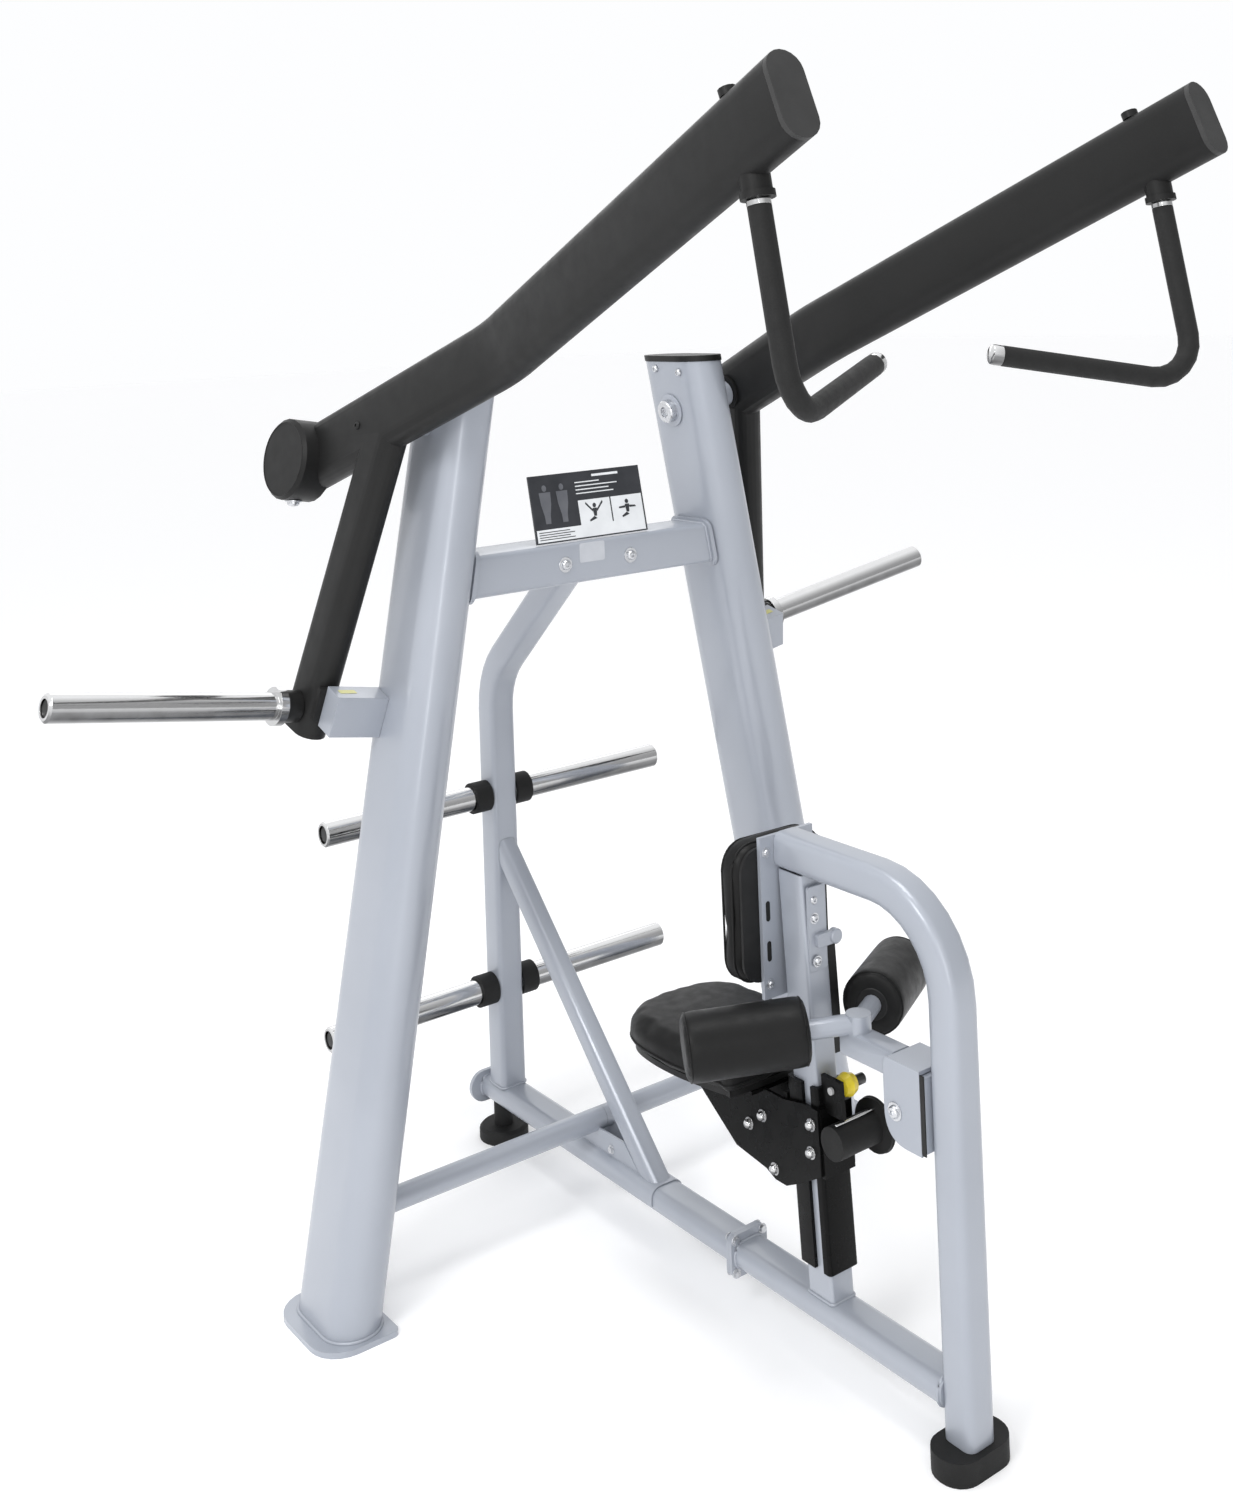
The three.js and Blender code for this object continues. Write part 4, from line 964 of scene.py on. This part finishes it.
def pad_ring(outline, z, inset):
    """The outline moved inwards by an inset, at a height."""
    points = np.array(outline)
    before, after = np.roll(points, 1, axis=0), np.roll(points, -1, axis=0)
    tangent = after - before
    tangent /= np.linalg.norm(tangent, axis=1)[:, None]
    inward = np.stack([-tangent[:, 1], tangent[:, 0]], axis=1)
    moved = points + inward * inset
    return [Vector((x, y, z)) for x, y in moved]


def smooth_outline(points, count):
    """A closed curve through points, resampled evenly."""
    p = np.array(points, float)
    total, dense = len(p), []
    for i in range(total):
        a, b, c, d = p[i - 1], p[i], p[(i + 1) % total], p[(i + 2) % total]
        for t in np.linspace(0, 1, 12, endpoint=False):
            point = 2 * b + (c - a) * t
            point += (2 * a - 5 * b + 4 * c - d) * t**2
            point += (3 * b - a - 3 * c + d) * t**3
            dense.append(0.5 * point)
    dense = np.array(dense)
    steps = np.linalg.norm(np.roll(dense, -1, axis=0) - dense, axis=1)
    length = np.concatenate([[0], np.cumsum(steps)])
    targets = np.linspace(0, length[-1], count, endpoint=False)
    closed = np.vstack([dense, dense[:1]])
    xs, ys = (np.interp(targets, length, closed[:, column]) for column in (0, 1))
    return list(zip(xs.tolist(), ys.tolist()))


def seat_pad():
    low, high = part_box("seat_pad")
    # half outline of the seat as fractions of its half width and its length from the nose
    half = [(0.0, -0.002), (0.37, 0.018), (0.70, 0.085), (0.92, 0.205), (1.0, 0.387)]
    half += [(0.99, 0.595), (0.92, 0.78), (0.84, 0.92), (0.70, 0.998)]
    width, length = (high.x - low.x) / 2, high.y - low.y
    right = [(x * width, high.y - t * length) for x, t in half]
    left = [(-x, y) for x, y in right[:0:-1]]
    outline = smooth_outline(right + left, 120)
    pairs = zip(outline, outline[1:] + outline[:1])
    clockwise = sum(x0 * y1 - x1 * y0 for (x0, y0), (x1, y1) in pairs) < 0
    if clockwise:
        outline = outline[::-1]
    bottom, top = low.z + 0.008, high.z
    # heights of the rings, each with its inset from the outline
    levels = ((bottom, 0.008), (bottom + 0.003, 0.001), (bottom + 0.012, -0.004))
    levels += ((top - 0.016, -0.005), (top - 0.006, 0.000), (top - 0.001, 0.010), (top, 0.030))
    pad = loft("seat_cushion", [pad_ring(outline, z, inset) for z, inset in levels])
    remeshed(pad, 0.006)

    def keep(result):
        """Flat under its bottom, with a nose and sides that fall away."""
        result[:, 2] = np.maximum(result[:, 2], bottom)
        result[:, 2] = np.minimum(result[:, 2], high.z + 0.006)
        nose = np.clip((result[:, 1] - (high.y - 0.12)) / 0.12, 0, 1)
        crown = np.clip((result[:, 2] - bottom) / (top - bottom), 0, 1)
        result[:, 2] -= 0.009 * nose**2 * crown
        side = np.clip(np.abs(result[:, 0]) / width, 0, 1)
        result[:, 2] -= 0.003 * side**3 * crown
        return result

    inflate(pad, 0.008, keep)
    finish_pad(pad, "seat_pad", "seat")
    board = Builder()
    shape = [(p.x, p.y) for p in pad_ring(outline, 0, 0.011)]
    board.prism(shape, (0, 0, 0), Matrix.Identity(3), low.z + 0.0004, bottom + 0.003)
    board.object("seat_board", PLASTIC, "seat")
    piping = Builder()
    piping.bead(on_surface(pad, pad_ring(outline, bottom + 0.0130, -0.002), 0.0003), 0.0022, 8)
    piping.object("seat_piping", VINYL, "seat", 180)


def chest_pad():
    low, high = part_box("chest_pad")
    centre = (low + high) / 2
    width, tall = high.x - low.x, high.z - low.z
    outline = round_rect(width - 0.008, tall - 0.008, 0.046, 8)
    front, back = low.y, high.y          # the front is the side against the plate
    levels = ((front + 0.005, 0.010), (front + 0.010, 0.003), (front + 0.024, 0.000), (back - 0.026, 0.000))
    levels += ((back - 0.013, 0.007), (back - 0.006, 0.022), (back - 0.003, 0.042))
    rings = []
    for y, inset in levels:
        rings.append([Vector((centre.x + p.x, y, centre.z + p.y)) for p in pad_ring(outline, 0, inset)])
    pad = loft("chest_cushion", rings)
    remeshed(pad, 0.006)

    def keep(result):
        result[:, 1] = np.maximum(result[:, 1], front + 0.004)
        return result

    inflate(pad, 0.007, keep)
    finish_pad(pad, "chest_pad", "frame")
    board = Builder()
    shape = [(p.x, p.y) for p in pad_ring(outline, 0, 0.008)]
    board.prism(shape, (centre.x, front, centre.z), FACING_FRONT, -0.006, -0.0004)
    board.object("chest_pad_board", PLASTIC, "frame")
    piping = Builder()
    for y in (front + 0.0185, back - 0.0200):
        seam = [Vector((centre.x + p.x, y, centre.z + p.y)) for p in pad_ring(outline, 0, -0.002)]
        piping.bead(on_surface(pad, seam, 0.0002), 0.0020, 8)
    piping.object("chest_pad_piping", VINYL, "frame", 180)


def thigh_rollers():
    outer_disc = [(0.0005, -0.008), (0.0260, -0.008), (0.0260, -0.003)]
    outer_disc += [(0.0245, -0.0006), (0.0200, 0.0006), (0.0005, 0.0006)]
    collar = [(0.0172, -0.0004), (0.0250, -0.0004), (0.0270, 0.0010), (0.0270, 0.008), (0.0172, 0.008)]
    count = 56
    for side in ("right", "left"):
        joint = JOINTS[f"roller_{side}_spin"]
        axis, place = Vector(joint["axis"]).normalized(), Vector(joint["pos_m"])
        co = coordinates(NODES["thigh_roller_" + side])
        reach = (co - np.array(place)) @ np.array(axis)
        inner, outer = float(reach.min()), float(reach.max())
        radial = np.linalg.norm(co - np.array(place) - reach[:, None] * np.array(axis), axis=1)
        radius = float(radial.max())
        turn = frame_along(axis)

        def ring(distance, r):
            angles = [2 * math.pi * k / count for k in range(count)]
            return [place + turn @ Vector((r * math.cos(a), r * math.sin(a), distance)) for a in angles]

        r = radius - 0.0015
        shape = [(inner + 0.005, 0.026), (inner + 0.0015, 0.031), (inner + 0.0010, r - 0.008)]
        shape += [(inner + 0.003, r - 0.003), (inner + 0.009, r - 0.0005), (inner + 0.022, r)]
        shape += [(outer - 0.022, r), (outer - 0.009, r - 0.0005), (outer - 0.003, r - 0.003)]
        shape += [(outer - 0.0010, r - 0.008), (outer - 0.0015, 0.031), (outer - 0.004, 0.026)]
        pad = loft("roller_cushion_" + side, [ring(d, q) for d, q in shape])
        remeshed(pad, 0.0055)

        def keep(result):
            """No further along the axis than the CAD roller."""
            a = np.array(axis)
            t = (result - np.array(place)) @ a
            held = np.clip(t, inner + 0.0006, outer - 0.0002)
            return result + (held - t)[:, None] * a

        inflate(pad, 0.0030, keep)
        finish_pad(pad, "thigh_roller_" + side, "roller_" + side)
        seams = Builder()
        for d in (inner + 0.006, outer - 0.006):
            seams.bead(on_surface(pad, ring(d, radius), 0.0004), 0.0015, 6)
        seams.object("roller_seams_" + side, VINYL, "roller_" + side, 180)
        ends = Builder()
        ends.lathe(outer_disc, place + axis * (outer - 0.0006), axis, 36)
        ends.lathe(collar, place + axis * (inner + 0.0004), axis, 36)
        ends.object("roller_end_discs_" + side, PLASTIC, "roller_" + side)


def carriage_details():
    """The carriage's nuts, a thin chrome rod along the top of its front grip as a painted highlight, and a rim on
    the grip's flange.
    """
    nuts = Builder()
    spots = ((-0.508, 0.357), (-0.544, 0.383), (-0.572, 0.304), (-0.668, 0.412), (-0.666, 0.366))
    for sign in (1, -1):
        for y, z in spots:
            nuts.dome_nut((sign * 0.0388, Y0 + y, z), X * sign, 0.0085)
    low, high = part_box("seat_grip")
    grip = (low + high) / 2
    # painted highlight: a thin chrome rod along the top of the grip, where only a bright line on the grip's top
    # edge shows
    highlight_rod = [(0.0005, 0), (0.0022, 0.0004), (0.0022, 0.0876), (0.0005, 0.0880)]
    nuts.lathe(highlight_rod, (low.x + 0.004, grip.y - 0.006, grip.z + 0.0302), X, 16)
    nuts.object("carriage_nuts", CHROME, "seat")
    edge = Builder()
    edge.bead(circle_points((high.x - 0.0035, grip.y, grip.z), X, 0.0438, 40), 0.0012, 6)
    edge.object("guide_drum_rim", PLASTIC, "seat", 180)


make_camera()
make_studio()
dress_all()
weld_beads()
frame_fasteners()
frame_bosses()
brace_details()
placard_prints()
dark_parts()
stop_labels()
arm_details()
horn_plugs()
handle_details()
seat_pad()
chest_pad()
thigh_rollers()
carriage_details()
